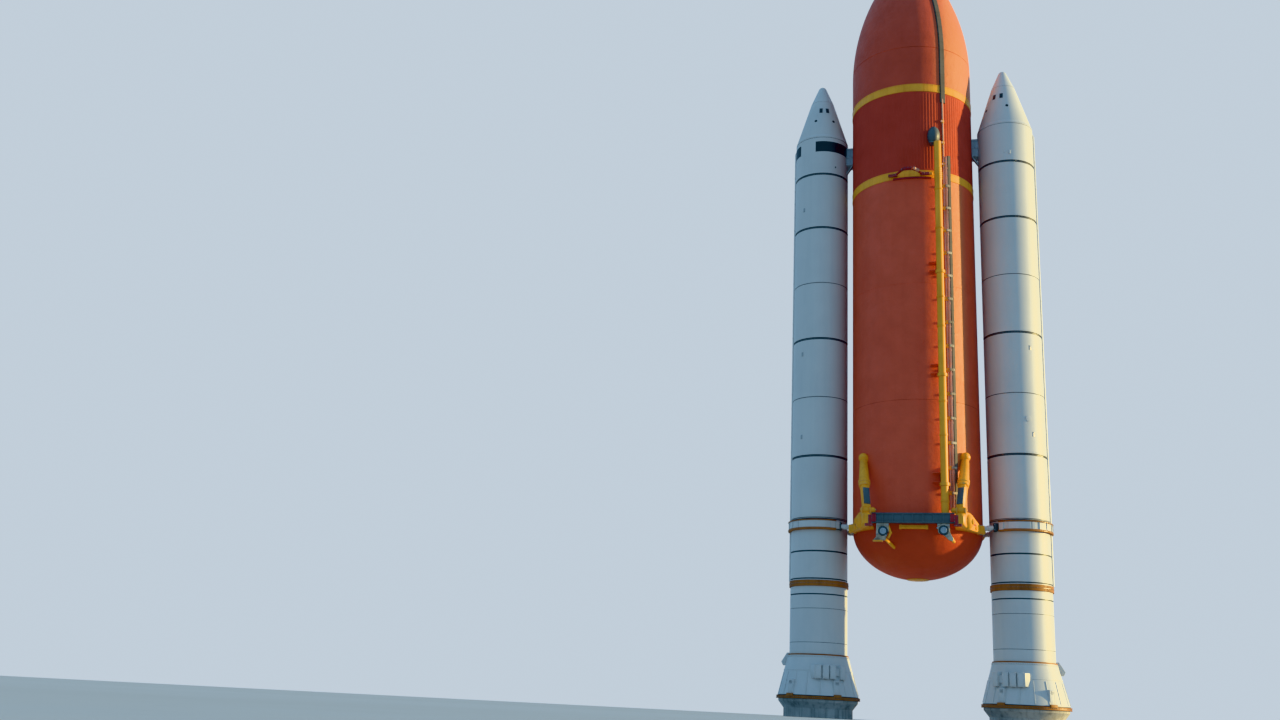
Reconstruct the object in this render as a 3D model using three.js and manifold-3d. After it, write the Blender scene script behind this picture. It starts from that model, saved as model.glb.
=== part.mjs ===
// A display rocket at one to two scale: a large propellant tank with a solid booster on each side.
// The boosters stand on round plinths and carry the tank between them, so nothing moves.
// Units are millimetres. +Z is up, and the side with the feed line faces -Y.

import * as THREE from "three";
import { ConvexGeometry } from "three/addons/geometries/ConvexGeometry.js";
import { mergeVertices } from "three/addons/utils/BufferGeometryUtils.js";
import Module from "manifold-3d";

const wasm = await Module();
wasm.setup();

// Scale: every size below is the real rocket's in metres, turned into model millimetres
const SCALE = 1 / 2;
const real = (metres) => metres * 1000 * SCALE;
const GAP = 0.3;
const TANK_SIDES = 64;
const BOOSTER_SIDES = 40;
const PIPE_SIDES = 16;
const LINE_SIDES = 8;
const MERGE_DISTANCE = 1e-3;

// Tank heights above the floor, from the bottom up
const TANK_R = real(4.15);
const TANK_WALL = real(0.12);
const DOME_BOTTOM = real(8.9);
const DOME_CAP_R = real(0.72);
const DOME_CAP_DEPTH = real(0.06);
const DOME_TOP = real(12.01);
const BARREL_SEAMS = [DOME_TOP, real(19.9), real(27.8), real(35.35)];
const LOWER_BAND_TOP = real(35.91);
const INTERTANK_TOP = real(41.86);
const UPPER_BAND_TOP = real(42.43);
const OGIVE_START = real(44.85);
const OGIVE_SEAM = real(45.34);
const OGIVE_ARC_R = real(15.545);
const NOSE_CONE_BASE = real(54.43);
const NOSE_CONE_R = real(0.85);
const NOSE_CONE_WAIST_R = real(0.53);
const NOSE_CONE_TOP = real(55.45);
const SPIKE_FOOT_R = real(0.16);
const SPIKE_R = real(0.08);
const SPIKE_TOP = real(56.09);
const BAND_PROUD = real(0.03);
const OGIVE_STEPS = 7;
const DOME_STEPS = 7;
const INNER_STEPS = 3;

// Feed line down the front of the tank, with the fairing at its top and its brackets
const FEED_X = real(1.93);
const FEED_Y = real(-4.45);
const FEED_R = real(0.235);
const FEED_TOP = real(38.0);
const FEED_OUTLET_Y = real(-4.69);
const FEED_OUTLET_Z = real(11.32);
const FAIRING_CENTRE = [real(1.72), real(-4.12), real(38.58)];
const FAIRING_HALF = [real(0.5), real(0.55), real(0.74)];
const BRACKET_HEIGHTS = [real(28.88), real(21.87), real(14.81)];
const BRACKET_SIZE = [real(0.95), real(0.6), real(0.6)];
const BRACKET_X = real(1.72);
const BRACKET_Y = real(-4.25);

// Cable trays and the pressure line: azimuths are degrees from the front toward +X
const TRAY_WIDTH = real(0.3);
const TRAY_PROUD = real(0.13);
const LOWER_TRAY_AZIMUTH = 38.5;
const LOWER_TRAY_BOTTOM = real(12.95);
const LOWER_TRAY_TOP = real(36.9);
const UPPER_TRAY_AZIMUTH = 33.5;
const UPPER_TRAY_BOTTOM = real(41.5);
const UPPER_TRAY_TOP = real(54.3);
const UPPER_TRAY_STEPS = 6;
const LINE_AZIMUTH = 34.6;
const LINE_R = real(0.05);
const LINE_TOP = real(41.4);
const LINE_OFF_TANK = real(0.13);
const CLIP_SIZE = [real(0.22), real(0.28), real(0.22)];
const CLIP_INSET = real(0.07);
const CLIP_COUNT = 17;
const CLIP_LOW = real(14.1);
const CLIP_PITCH = real(1.61);

// Forward bipod on the lower band
const BIPOD_Z = real(35.63);
const BIPOD_FOOT = [real(1.05), real(-4.1)];
const BIPOD_TOP = [real(0.28), real(-5.0)];
const BIPOD_LEG_R = real(0.11);
const BIPOD_FOOT_SIZE = [real(0.46), real(0.5), real(0.4)];
const BIPOD_YOKE_SIZE = [real(0.76), real(0.26), real(0.3)];

// Aft attach frame at the tank's lowest ring, with its +X side listed
const BEAM_HALF = real(2.5);
const BEAM_Y = [real(-5.15), real(-4.8)];
const BEAM_Z = [real(11.8), real(12.43)];
const STRUT_TOP = [real(3.2), real(-2.86), real(16.3)];
const STRUT_KNEE = [real(3.04), real(-3.98), real(14.3)];
const STRUT_FOOT = [real(2.84), real(-4.6), real(12.3)];
const STRUT_TOP_R = real(0.22);
const STRUT_KNEE_R = real(0.36);
const STRUT_FOOT_R = real(0.32);
const STRUT_PAD = [real(0.6), real(0.5), real(0.6)];
const STRUT_SEAT_R = real(8.3);
const FITTING_BEAM_END = {
  x: [BEAM_HALF + GAP, real(3.15)],
  y: [real(-5.1), real(-3.2)],
  z: [real(11.6), real(12.6)],
};
const FITTING_OUTER_END = {
  x: [real(3.7), real(4.35)],
  y: [real(-1.95), real(-1.3)],
  z: [real(11.7), real(12.15)],
};
const PLATE_X = real(1.9);
const PLATE_Y = [real(-5.08), real(-4.7)];
const DISC_R = real(0.24);
const DISC_PROUD = real(0.07);
const PLATE_LEG_R = real(0.08);
// Each umbilical plate: its outline's x from its disc and heights, and its leg's two ends
const PLATES = {
  left: {
    outline: [[-0.42, 11.8], [0.45, 11.8], [0.45, 11.1], [0.22, 10.72], [-0.6, 10.72], [-0.42, 11.0]],
    leg: [[-1.75, -4.9, 10.95], [-1.15, -3.2, 10.4]],
  },
  right: {
    outline: [[-0.42, 11.8], [0.48, 11.8], [0.52, 10.9], [0.3, 10.8], [-0.3, 11.2], [-0.42, 11.35]],
    leg: [[2.2, -4.9, 11.1], [2.35, -3.4, 10.7]],
  },
};
const CROSS_PIPE_R = real(0.14);
const CROSS_PIPE_HALF = real(0.88);
const CROSS_PIPE_Z = real(11.62);

// Booster heights above the floor, from the bottom up
const BOOSTER_X = real(6.4);
const BOOSTER_R = real(1.86);
const BOOSTER_WALL = real(0.19);
const PLINTH_R = real(2.2);
const PLINTH_WALL_TOP = real(0.55);
const PLINTH_LIP_R = real(2.54);
const PLINTH_LIP_Z = real(0.97);
const PLINTH_TOP = real(1.12);
const BASE_RING_R = real(2.68);
const BASE_RING_TOP = real(1.31);
const SKIRT_BASE_R = real(2.6);
const SKIRT_TOP = real(3.91);
const SKIRT_TOP_R = real(1.93);
const FIRST_JOINT = real(12.61);
const SEGMENT_LENGTH = real(8.17);
const SEGMENT_NAMES = ["aft_centre_segment", "forward_centre_segment", "forward_segment"];
const FRUSTUM_BASE = real(40.15);
const CAP_BASE = real(43.5);
const CAP_BASE_R = real(0.82);
const CAP_TOP = real(45.0);
const CAP_BALL_R = real(0.3);
const CAP_STEPS = 4;
const REVEAL_DEPTH = real(0.03);
const REVEAL_HEIGHT = real(0.11);
const CASE_BAND_Z = [real(8.19), real(8.58)];
const CASE_BAND_PROUD = real(0.07);
const ATTACH_RING_Z = [real(11.85), real(12.51)];
const ATTACH_RING_R = real(2.06);
const ATTACH_RING_MOUTH = 50;
const ATTACH_RING_STEPS = 32;
const TUNNEL_WIDTH = real(0.28);
const TUNNEL_PROUD = real(0.13);
const TUNNEL_Z = [real(8.62), real(39.9)];

// Booster skirt details: azimuths are degrees from the front, positive toward the tank
const POST_AZIMUTHS = [-145, -35, 35, 145];
const POST_SIZE = [real(0.42), real(0.5), real(1.05)];
const POST_R = real(2.45);
const POST_Z = real(1.76);
const MOTOR_AZIMUTHS = [7.5, 18.5, 29.5, 46];
const MOTOR_SIZE = [real(0.42), real(0.46), real(0.86)];
const MOTOR_R = real(2.3);
const MOTOR_Z = real(2.8);
const MOTOR_RAIL = { azimuths: [5, 48], radii: [real(2.0), real(2.38)], z: [real(2.56), real(3.06)] };
// The cover at the foot of the systems tunnel: its [radius, height] outline and its width
const COVER_OUTLINE = [[1.7, 3.2], [2.27, 3.2], [2.38, 3.42], [2.02, 4.0], [1.7, 4.0]];
const COVER_WIDTH = real(0.4);

// Links between the boosters and the tank: inboard distances are from the booster's axis
const FORWARD_FITTING_Z = [real(38.15), real(39.75)];
const FORWARD_FITTING_INBOARD = [real(1.7), real(2.4)];
const FORWARD_FITTING_WIDTH = real(0.9);
const BRACE_R = real(0.09);
const BRACE_Y = real(-0.3);
const BRACE_BOOSTER_END = [real(1.75), real(37.65)];
const BRACE_TANK_END = [real(2.45), real(38.35)];
const LINK_BOOSTER = [real(1.4), real(1.2), real(12.15)];
const LINK_TANK = [real(2.4), real(1.5), real(12.0)];
const LINK_R = real(0.15);
const LINK_SOCKET = [real(0.46), real(0.42), real(0.5)];
const LINK_PAD = [real(0.5), real(0.6), real(0.55)];

// The origin lies at the middle of the floor under the stack, so the tank's axis stands behind it
const FRONT_REACH = BIPOD_YOKE_SIZE[1] - BIPOD_TOP[1];
const BACK_REACH = TANK_R + BAND_PROUD;
const TANK_AXIS_Y = (FRONT_REACH - BACK_REACH) / 2;

// Finishes: colour, roughness and metalness of each kind of surface
const FINISHES = {
  foam: { color: 0xb4562c, roughness: 0.95, metalness: 0 },
  ribbed_foam: { color: 0x8f3f24, roughness: 0.9, metalness: 0 },
  yellow: { color: 0xd6a028, roughness: 0.6, metalness: 0 },
  white: { color: 0xdedbd2, roughness: 0.55, metalness: 0 },
  navy: { color: 0x1c2f52, roughness: 0.5, metalness: 0 },
  maroon: { color: 0x5a1f22, roughness: 0.6, metalness: 0 },
  grey: { color: 0x857a70, roughness: 0.6, metalness: 0.2 },
  pale_blue: { color: 0x9fb2bd, roughness: 0.5, metalness: 0.1 },
  concrete: { color: 0xb9b6ae, roughness: 0.9, metalness: 0 },
};

const radians = (degrees) => (degrees * Math.PI) / 180;
const middle = ([low, high]) => (low + high) / 2;
const span = ([low, high]) => high - low;

// Evenly spaced values from first to last.
function steps(first, last, count) {
  return Array.from({ length: count + 1 }, (_, index) => first + ((last - first) * index) / count);
}

// A solid of revolution about Z, from [radius, height] pairs that go up the outside.
function turned(profile, sides) {
  const points = profile.map(([radius, height]) => new THREE.Vector2(radius, height));
  const geometry = new THREE.LatheGeometry(points, sides);
  return geometry.rotateX(Math.PI / 2);
}

// The same profile with its last height lowered by the joint gap.
function gapped(profile) {
  const [radius, top] = profile[profile.length - 1];
  return [...profile.slice(0, -1), [radius, top - GAP]];
}

// A turned body closed on the axis at both ends, with the joint gap left at its top.
function turnedBody(profile, sides) {
  const outside = gapped(profile);
  return turned([[0, outside[0][1]], ...outside, [0, outside[outside.length - 1][1]]], sides);
}

// A turned shell, open at both ends, from the profiles of its outside and its inside.
function turnedShell(outside, inside, sides) {
  return turned([...gapped(outside), ...gapped(inside).reverse(), outside[0]], sides);
}

// A turned shell whose wall has the same thickness at every height of a profile.
function walledBody(profile, wall, sides) {
  return turnedShell(profile, profile.map(([radius, height]) => [radius - wall, height]), sides);
}

// A cylinder about Z that fills the heights between low and high.
function drum(radius, low, high, sides) {
  return turned([[0, low], [radius, low], [radius, high], [0, high]], sides);
}

function block(size, centre) {
  return new THREE.BoxGeometry(...size).translate(...centre);
}

// A block given by its low and high coordinate along each axis.
function blockBetween(x, y, z) {
  return block([span(x), span(y), span(z)], [middle(x), middle(y), middle(z)]);
}

// A round bar from one point to another, with its own radius at each end.
function bar(start, end, startRadius, endRadius = startRadius, sides = PIPE_SIDES) {
  const from = new THREE.Vector3(...start);
  const to = new THREE.Vector3(...end);
  const along = to.clone().sub(from);
  const geometry = new THREE.CylinderGeometry(endRadius, startRadius, along.length(), sides);
  const turn = new THREE.Quaternion().setFromUnitVectors(new THREE.Vector3(0, 1, 0), along.normalize());
  const centre = from.add(to).multiplyScalar(0.5);
  return geometry.applyQuaternion(turn).translate(centre.x, centre.y, centre.z);
}

// A curved block between two radii and two azimuths, measured from the front toward +X.
function sector([innerR, outerR], [fromAzimuth, toAzimuth], [low, high], curveSegments) {
  const first = radians(fromAzimuth - 90);
  const last = radians(toAzimuth - 90);
  const outline = new THREE.Shape();
  outline.absarc(0, 0, outerR, first, last, false);
  outline.absarc(0, 0, innerR, last, first, true);
  const options = { depth: high - low, bevelEnabled: false, curveSegments };
  return new THREE.ExtrudeGeometry(outline, options).translate(0, 0, low);
}

// A fin that stands on the front of a turned body, from its [radius, height] outline.
function fin(outline, width) {
  const shape = new THREE.Shape(outline.map(([radius, height]) => new THREE.Vector2(radius, height)));
  const geometry = new THREE.ExtrudeGeometry(shape, { depth: width, bevelEnabled: false });
  return geometry.translate(0, 0, -width / 2).rotateX(Math.PI / 2).rotateZ(-Math.PI / 2);
}

// An upright plate between two depths, from its [x, height] outline.
function upright(outline, [front, back]) {
  const shape = new THREE.Shape(outline.map(([x, height]) => new THREE.Vector2(x, height)));
  const geometry = new THREE.ExtrudeGeometry(shape, { depth: back - front, bevelEnabled: false });
  return geometry.rotateX(Math.PI / 2).translate(0, back, 0);
}

// The manifold solid of a closed geometry, with shared vertices merged and slivers dropped.
function solidOf(geometry) {
  const bare = geometry.clone();
  bare.deleteAttribute("uv");
  bare.deleteAttribute("normal");
  const merged = mergeVertices(bare, MERGE_DISTANCE);
  const corners = Array.from(merged.index.array);
  const kept = [];
  for (let i = 0; i < corners.length; i += 3) {
    const [a, b, c] = corners.slice(i, i + 3);
    if (a !== b && b !== c && c !== a) kept.push(a, b, c);
  }
  const vertProperties = new Float32Array(merged.attributes.position.array);
  const triVerts = Uint32Array.from(kept);
  return new wasm.Manifold(new wasm.Mesh({ numProp: 3, vertProperties, triVerts }));
}

function geometryOf(solid) {
  const mesh = solid.getMesh();
  const geometry = new THREE.BufferGeometry();
  geometry.setAttribute("position", new THREE.BufferAttribute(new Float32Array(mesh.vertProperties), 3));
  geometry.setIndex(new THREE.BufferAttribute(new Uint32Array(mesh.triVerts), 1));
  geometry.computeVertexNormals();
  return geometry;
}

function joined(...geometries) {
  return geometryOf(geometries.map(solidOf).reduce((whole, piece) => whole.add(piece)));
}

function carved(geometry, ...tools) {
  return geometryOf(tools.map(solidOf).reduce((rest, tool) => rest.subtract(tool), solidOf(geometry)));
}

// Radius of the tank's ogive at a height: an arc that leaves the barrel without a corner.
function ogiveRadius(height) {
  const rise = Math.max(0, height - OGIVE_START);
  return Math.sqrt(OGIVE_ARC_R ** 2 - rise ** 2) - (OGIVE_ARC_R - TANK_R);
}

// Profile of the ogive between two heights, moved outward by an offset.
function ogiveProfile(low, high, count, offset = 0) {
  return steps(low, high, count).map((height) => [ogiveRadius(height) + offset, height]);
}

// Profile of the aft dome: an ellipse from the hole under its cap up to the barrel, moved outward.
function domeProfile(count, offset = 0) {
  const start = Math.asin(DOME_CAP_R / TANK_R);
  const depth = (DOME_TOP - DOME_BOTTOM) / Math.cos(start);
  return steps(start, Math.PI / 2, count).map((angle) => [
    (TANK_R + offset) * Math.sin(angle),
    DOME_TOP - (depth + offset) * Math.cos(angle),
  ]);
}

// Profile of a booster body with a ring at one height: proud of the wall, or cut into it if negative.
function ringedProfile(low, high, [ringLow, ringHigh], proud) {
  const profile = [
    [BOOSTER_R, low],
    [BOOSTER_R, ringLow],
    [BOOSTER_R + proud, ringLow],
    [BOOSTER_R + proud, ringHigh],
    [BOOSTER_R, ringHigh],
    [BOOSTER_R, high],
  ];
  return ringLow > low ? profile : profile.slice(2);
}

// Profile of the nose cap: a cone that runs into a round tip.
function capProfile() {
  const ballCentre = CAP_TOP - CAP_BALL_R;
  const slope = Math.atan2(CAP_BASE_R - CAP_BALL_R, ballCentre - CAP_BASE);
  const ball = steps(slope, Math.PI / 2, CAP_STEPS).map((angle) => [
    CAP_BALL_R * Math.cos(angle),
    ballCentre + CAP_BALL_R * Math.sin(angle),
  ]);
  return [[0, CAP_BASE], [CAP_BASE_R, CAP_BASE], ...ball.slice(0, -1), [0, CAP_TOP]];
}

// The spaces of the tank, its bands and a booster, grown by the joint gap, to cut seats with
const tankSpace = turned(
  [
    [0, DOME_BOTTOM - GAP],
    ...domeProfile(DOME_STEPS, GAP),
    [TANK_R + GAP, OGIVE_START],
    ...ogiveProfile(OGIVE_SEAM, NOSE_CONE_BASE, OGIVE_STEPS, GAP),
    [0, NOSE_CONE_BASE],
  ],
  TANK_SIDES,
);
const bandSpace = (low, high) => drum(TANK_R + BAND_PROUD + GAP, low - GAP, high + GAP, TANK_SIDES);
const lowerBandSpace = bandSpace(BARREL_SEAMS[BARREL_SEAMS.length - 1], LOWER_BAND_TOP);
const upperBandSpace = bandSpace(INTERTANK_TOP, UPPER_BAND_TOP);
const boosterSpace = drum(BOOSTER_R + GAP, SKIRT_TOP, FRUSTUM_BASE, BOOSTER_SIDES);
const aftSegmentSpace = drum(BOOSTER_R + GAP, SKIRT_TOP - GAP, FIRST_JOINT, BOOSTER_SIDES);

const rocket = new THREE.Group();
rocket.name = "display_rocket";
rocket.position.y = TANK_AXIS_Y;

function add(parent, name, geometry, finish) {
  const mesh = new THREE.Mesh(geometry, new THREE.MeshStandardMaterial(FINISHES[finish]));
  mesh.name = name;
  parent.add(mesh);
}

// Tank bodies, from the spike down
function addTank(parent) {
  const spike = [
    [NOSE_CONE_R, NOSE_CONE_BASE],
    [NOSE_CONE_WAIST_R, middle([NOSE_CONE_BASE, NOSE_CONE_TOP])],
    [SPIKE_FOOT_R, NOSE_CONE_TOP],
    [SPIKE_R, NOSE_CONE_TOP + SPIKE_R],
    [SPIKE_R, SPIKE_TOP + GAP],
  ];
  add(parent, "tank_nose_cone", turnedBody(spike, BOOSTER_SIDES), "grey");
  const ogive = ogiveProfile(OGIVE_SEAM, NOSE_CONE_BASE, OGIVE_STEPS);
  const ogiveInside = ogiveProfile(OGIVE_SEAM, NOSE_CONE_BASE, INNER_STEPS, -TANK_WALL);
  add(parent, "tank_ogive", turnedShell(ogive, ogiveInside, TANK_SIDES), "foam");
  const barrel = [[TANK_R, UPPER_BAND_TOP], [TANK_R, OGIVE_START], [ogiveRadius(OGIVE_SEAM), OGIVE_SEAM]];
  add(parent, "tank_upper_barrel", walledBody(barrel, TANK_WALL, TANK_SIDES), "foam");
  const straight = (radius, low, high) => {
    const inside = TANK_R - TANK_WALL;
    return turnedShell([[radius, low], [radius, high]], [[inside, low], [inside, high]], TANK_SIDES);
  };
  const bandR = TANK_R + BAND_PROUD;
  const lowerBandLow = BARREL_SEAMS[BARREL_SEAMS.length - 1];
  add(parent, "tank_upper_band", straight(bandR, INTERTANK_TOP, UPPER_BAND_TOP), "yellow");
  add(parent, "tank_intertank", straight(TANK_R, LOWER_BAND_TOP, INTERTANK_TOP), "ribbed_foam");
  add(parent, "tank_lower_band", straight(bandR, lowerBandLow, LOWER_BAND_TOP), "yellow");
  for (let index = 1; index < BARREL_SEAMS.length; index += 1) {
    const body = straight(TANK_R, BARREL_SEAMS[index - 1], BARREL_SEAMS[index]);
    add(parent, `tank_lower_barrel_${index}`, body, "foam");
  }
  const dome = turnedShell(domeProfile(DOME_STEPS), domeProfile(INNER_STEPS, -TANK_WALL), TANK_SIDES);
  add(parent, "tank_aft_dome", dome, "foam");
  const cap = [[DOME_CAP_R, DOME_BOTTOM - DOME_CAP_DEPTH], [DOME_CAP_R, DOME_BOTTOM]];
  add(parent, "tank_dome_cap", turnedBody(cap, BOOSTER_SIDES), "yellow");
}

// Feed line with the fairing at its top and the brackets that hold it
function addFeedLine(parent) {
  const low = [FEED_X, FEED_Y, FEED_OUTLET_Z];
  const knee = new THREE.SphereGeometry(FEED_R, PIPE_SIDES, PIPE_SIDES / 2).translate(...low);
  const pipe = bar(low, [FEED_X, FEED_Y, FEED_TOP], FEED_R);
  const outlet = bar(low, [FEED_X, FEED_OUTLET_Y, FEED_OUTLET_Z], FEED_R);
  add(parent, "feed_line", joined(pipe, knee, outlet), "yellow");
  const pipeSpace = bar(low, [FEED_X, FEED_Y, FEED_TOP + GAP], FEED_R + GAP);
  const fairing = new THREE.SphereGeometry(1, PIPE_SIDES, PIPE_SIDES / 2);
  fairing.scale(...FAIRING_HALF).translate(...FAIRING_CENTRE);
  add(parent, "feed_fairing", carved(fairing, tankSpace, pipeSpace), "navy");
  BRACKET_HEIGHTS.forEach((height, index) => {
    const bracket = block(BRACKET_SIZE, [BRACKET_X, BRACKET_Y, height]);
    add(parent, `feed_bracket_${index + 1}`, carved(bracket, tankSpace, pipeSpace), "maroon");
  });
}

// Cable trays and the pressure line with its clips
function addTrays(parent) {
  const side = [[ogiveRadius(UPPER_TRAY_BOTTOM), UPPER_TRAY_BOTTOM]];
  side.push(...ogiveProfile(OGIVE_START, UPPER_TRAY_TOP, UPPER_TRAY_STEPS));
  const outside = side.map(([radius, height]) => [radius + TRAY_PROUD, height]);
  const inside = side.map(([radius, height]) => [radius - TRAY_PROUD, height]).reverse();
  const upper = fin([...outside, ...inside], TRAY_WIDTH).rotateZ(radians(UPPER_TRAY_AZIMUTH));
  add(parent, "cable_tray_upper", carved(upper, tankSpace, upperBandSpace), "grey");
  const depth = [-TANK_R - TRAY_PROUD, -TANK_R + TRAY_PROUD];
  const width = [-TRAY_WIDTH / 2, TRAY_WIDTH / 2];
  const lower = blockBetween(width, depth, [LOWER_TRAY_BOTTOM, LOWER_TRAY_TOP]);
  lower.rotateZ(radians(LOWER_TRAY_AZIMUTH));
  add(parent, "cable_tray_lower", carved(lower, tankSpace, lowerBandSpace), "grey");
  const lineY = -TANK_R - LINE_OFF_TANK;
  const line = bar([0, lineY, LOWER_TRAY_BOTTOM], [0, lineY, LINE_TOP], LINE_R, LINE_R, LINE_SIDES);
  const clipY = lineY + CLIP_INSET;
  const clips = steps(CLIP_LOW, CLIP_LOW + (CLIP_COUNT - 1) * CLIP_PITCH, CLIP_COUNT - 1);
  const clipBlocks = clips.map((height) => block(CLIP_SIZE, [0, clipY, height]));
  const lineWithClips = joined(line, ...clipBlocks).rotateZ(radians(LINE_AZIMUTH));
  add(parent, "pressure_line", carved(lineWithClips, tankSpace, lowerBandSpace), "yellow");
}

// Forward bipod: two legs on the lower band that carry a yoke
function addBipod(parent) {
  const yokeCentre = [0, BIPOD_TOP[1] - BIPOD_YOKE_SIZE[1] / 2, BIPOD_Z];
  const grown = BIPOD_YOKE_SIZE.map((size) => size + 2 * GAP);
  const yokeSpace = block(grown, yokeCentre);
  add(parent, "bipod_yoke", block(BIPOD_YOKE_SIZE, yokeCentre), "maroon");
  for (const [name, side] of [["left", -1], ["right", 1]]) {
    const foot = [side * BIPOD_FOOT[0], BIPOD_FOOT[1], BIPOD_Z];
    const top = [side * BIPOD_TOP[0], BIPOD_TOP[1] - BIPOD_LEG_R, BIPOD_Z];
    const leg = joined(bar(foot, top, BIPOD_LEG_R), block(BIPOD_FOOT_SIZE, foot));
    add(parent, `bipod_${name}_leg`, carved(leg, tankSpace, lowerBandSpace, yokeSpace), "maroon");
  }
}

// The aft fitting's shape on one side: a wedge from the crossbeam's end round the tank's side.
function aftFittingShape(side, growth = 0) {
  const grown = ([low, high]) => [low - growth, high + growth];
  const corners = [];
  for (const end of [FITTING_BEAM_END, FITTING_OUTER_END]) {
    for (const x of grown(end.x)) {
      for (const y of grown(end.y)) {
        for (const z of grown(end.z)) corners.push(new THREE.Vector3(side * x, y, z));
      }
    }
  }
  return new ConvexGeometry(corners);
}

// Aft attach frame: crossbeam, end fittings, thrust struts above and umbilical plates below
function addAftFrame(parent) {
  add(parent, "aft_crossbeam", blockBetween([-BEAM_HALF, BEAM_HALF], BEAM_Y, BEAM_Z), "navy");
  const pipeY = -TANK_R - CROSS_PIPE_R / 2;
  const pipeEnds = [-1, 1].map((side) => [side * CROSS_PIPE_HALF, pipeY, CROSS_PIPE_Z]);
  add(parent, "aft_cross_pipe", carved(bar(...pipeEnds, CROSS_PIPE_R), tankSpace), "yellow");
  for (const [name, side] of [["left", -1], ["right", 1]]) {
    const mirrored = ([x, y, z]) => [side * x, y, z];
    add(parent, `aft_${name}_fitting`, carved(aftFittingShape(side), tankSpace), "yellow");
    const [top, foot] = [mirrored(STRUT_TOP), mirrored(STRUT_FOOT)];
    const knee = mirrored(STRUT_KNEE);
    const lowerBar = bar(foot, knee, STRUT_FOOT_R, STRUT_KNEE_R);
    const upperBar = bar(knee, top, STRUT_KNEE_R, STRUT_TOP_R);
    const kneeBall = new THREE.SphereGeometry(STRUT_KNEE_R, PIPE_SIDES, PIPE_SIDES / 2).translate(...knee);
    const strut = joined(lowerBar, upperBar, kneeBall, block(STRUT_PAD, top));
    const seat = drum(STRUT_SEAT_R, 0, FITTING_BEAM_END.z[1] + GAP, LINE_SIDES);
    add(parent, `aft_${name}_thrust_strut`, carved(strut, tankSpace, seat), "yellow");
    const plateTop = BEAM_Z[0] - GAP;
    const corners = PLATES[name].outline;
    const outline = corners.map(([x, z]) => [side * PLATE_X + real(x), Math.min(real(z), plateTop)]);
    const discEnds = [middle(PLATE_Y), PLATE_Y[0] - DISC_PROUD];
    const disc = bar(...discEnds.map((y) => [side * PLATE_X, y, FEED_OUTLET_Z]), DISC_R);
    const leg = bar(...PLATES[name].leg.map((end) => end.map(real)), PLATE_LEG_R);
    const piece = carved(joined(upright(outline, PLATE_Y), disc, leg), tankSpace);
    add(parent, `aft_${name}_umbilical_plate`, piece, "pale_blue");
  }
}

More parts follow.
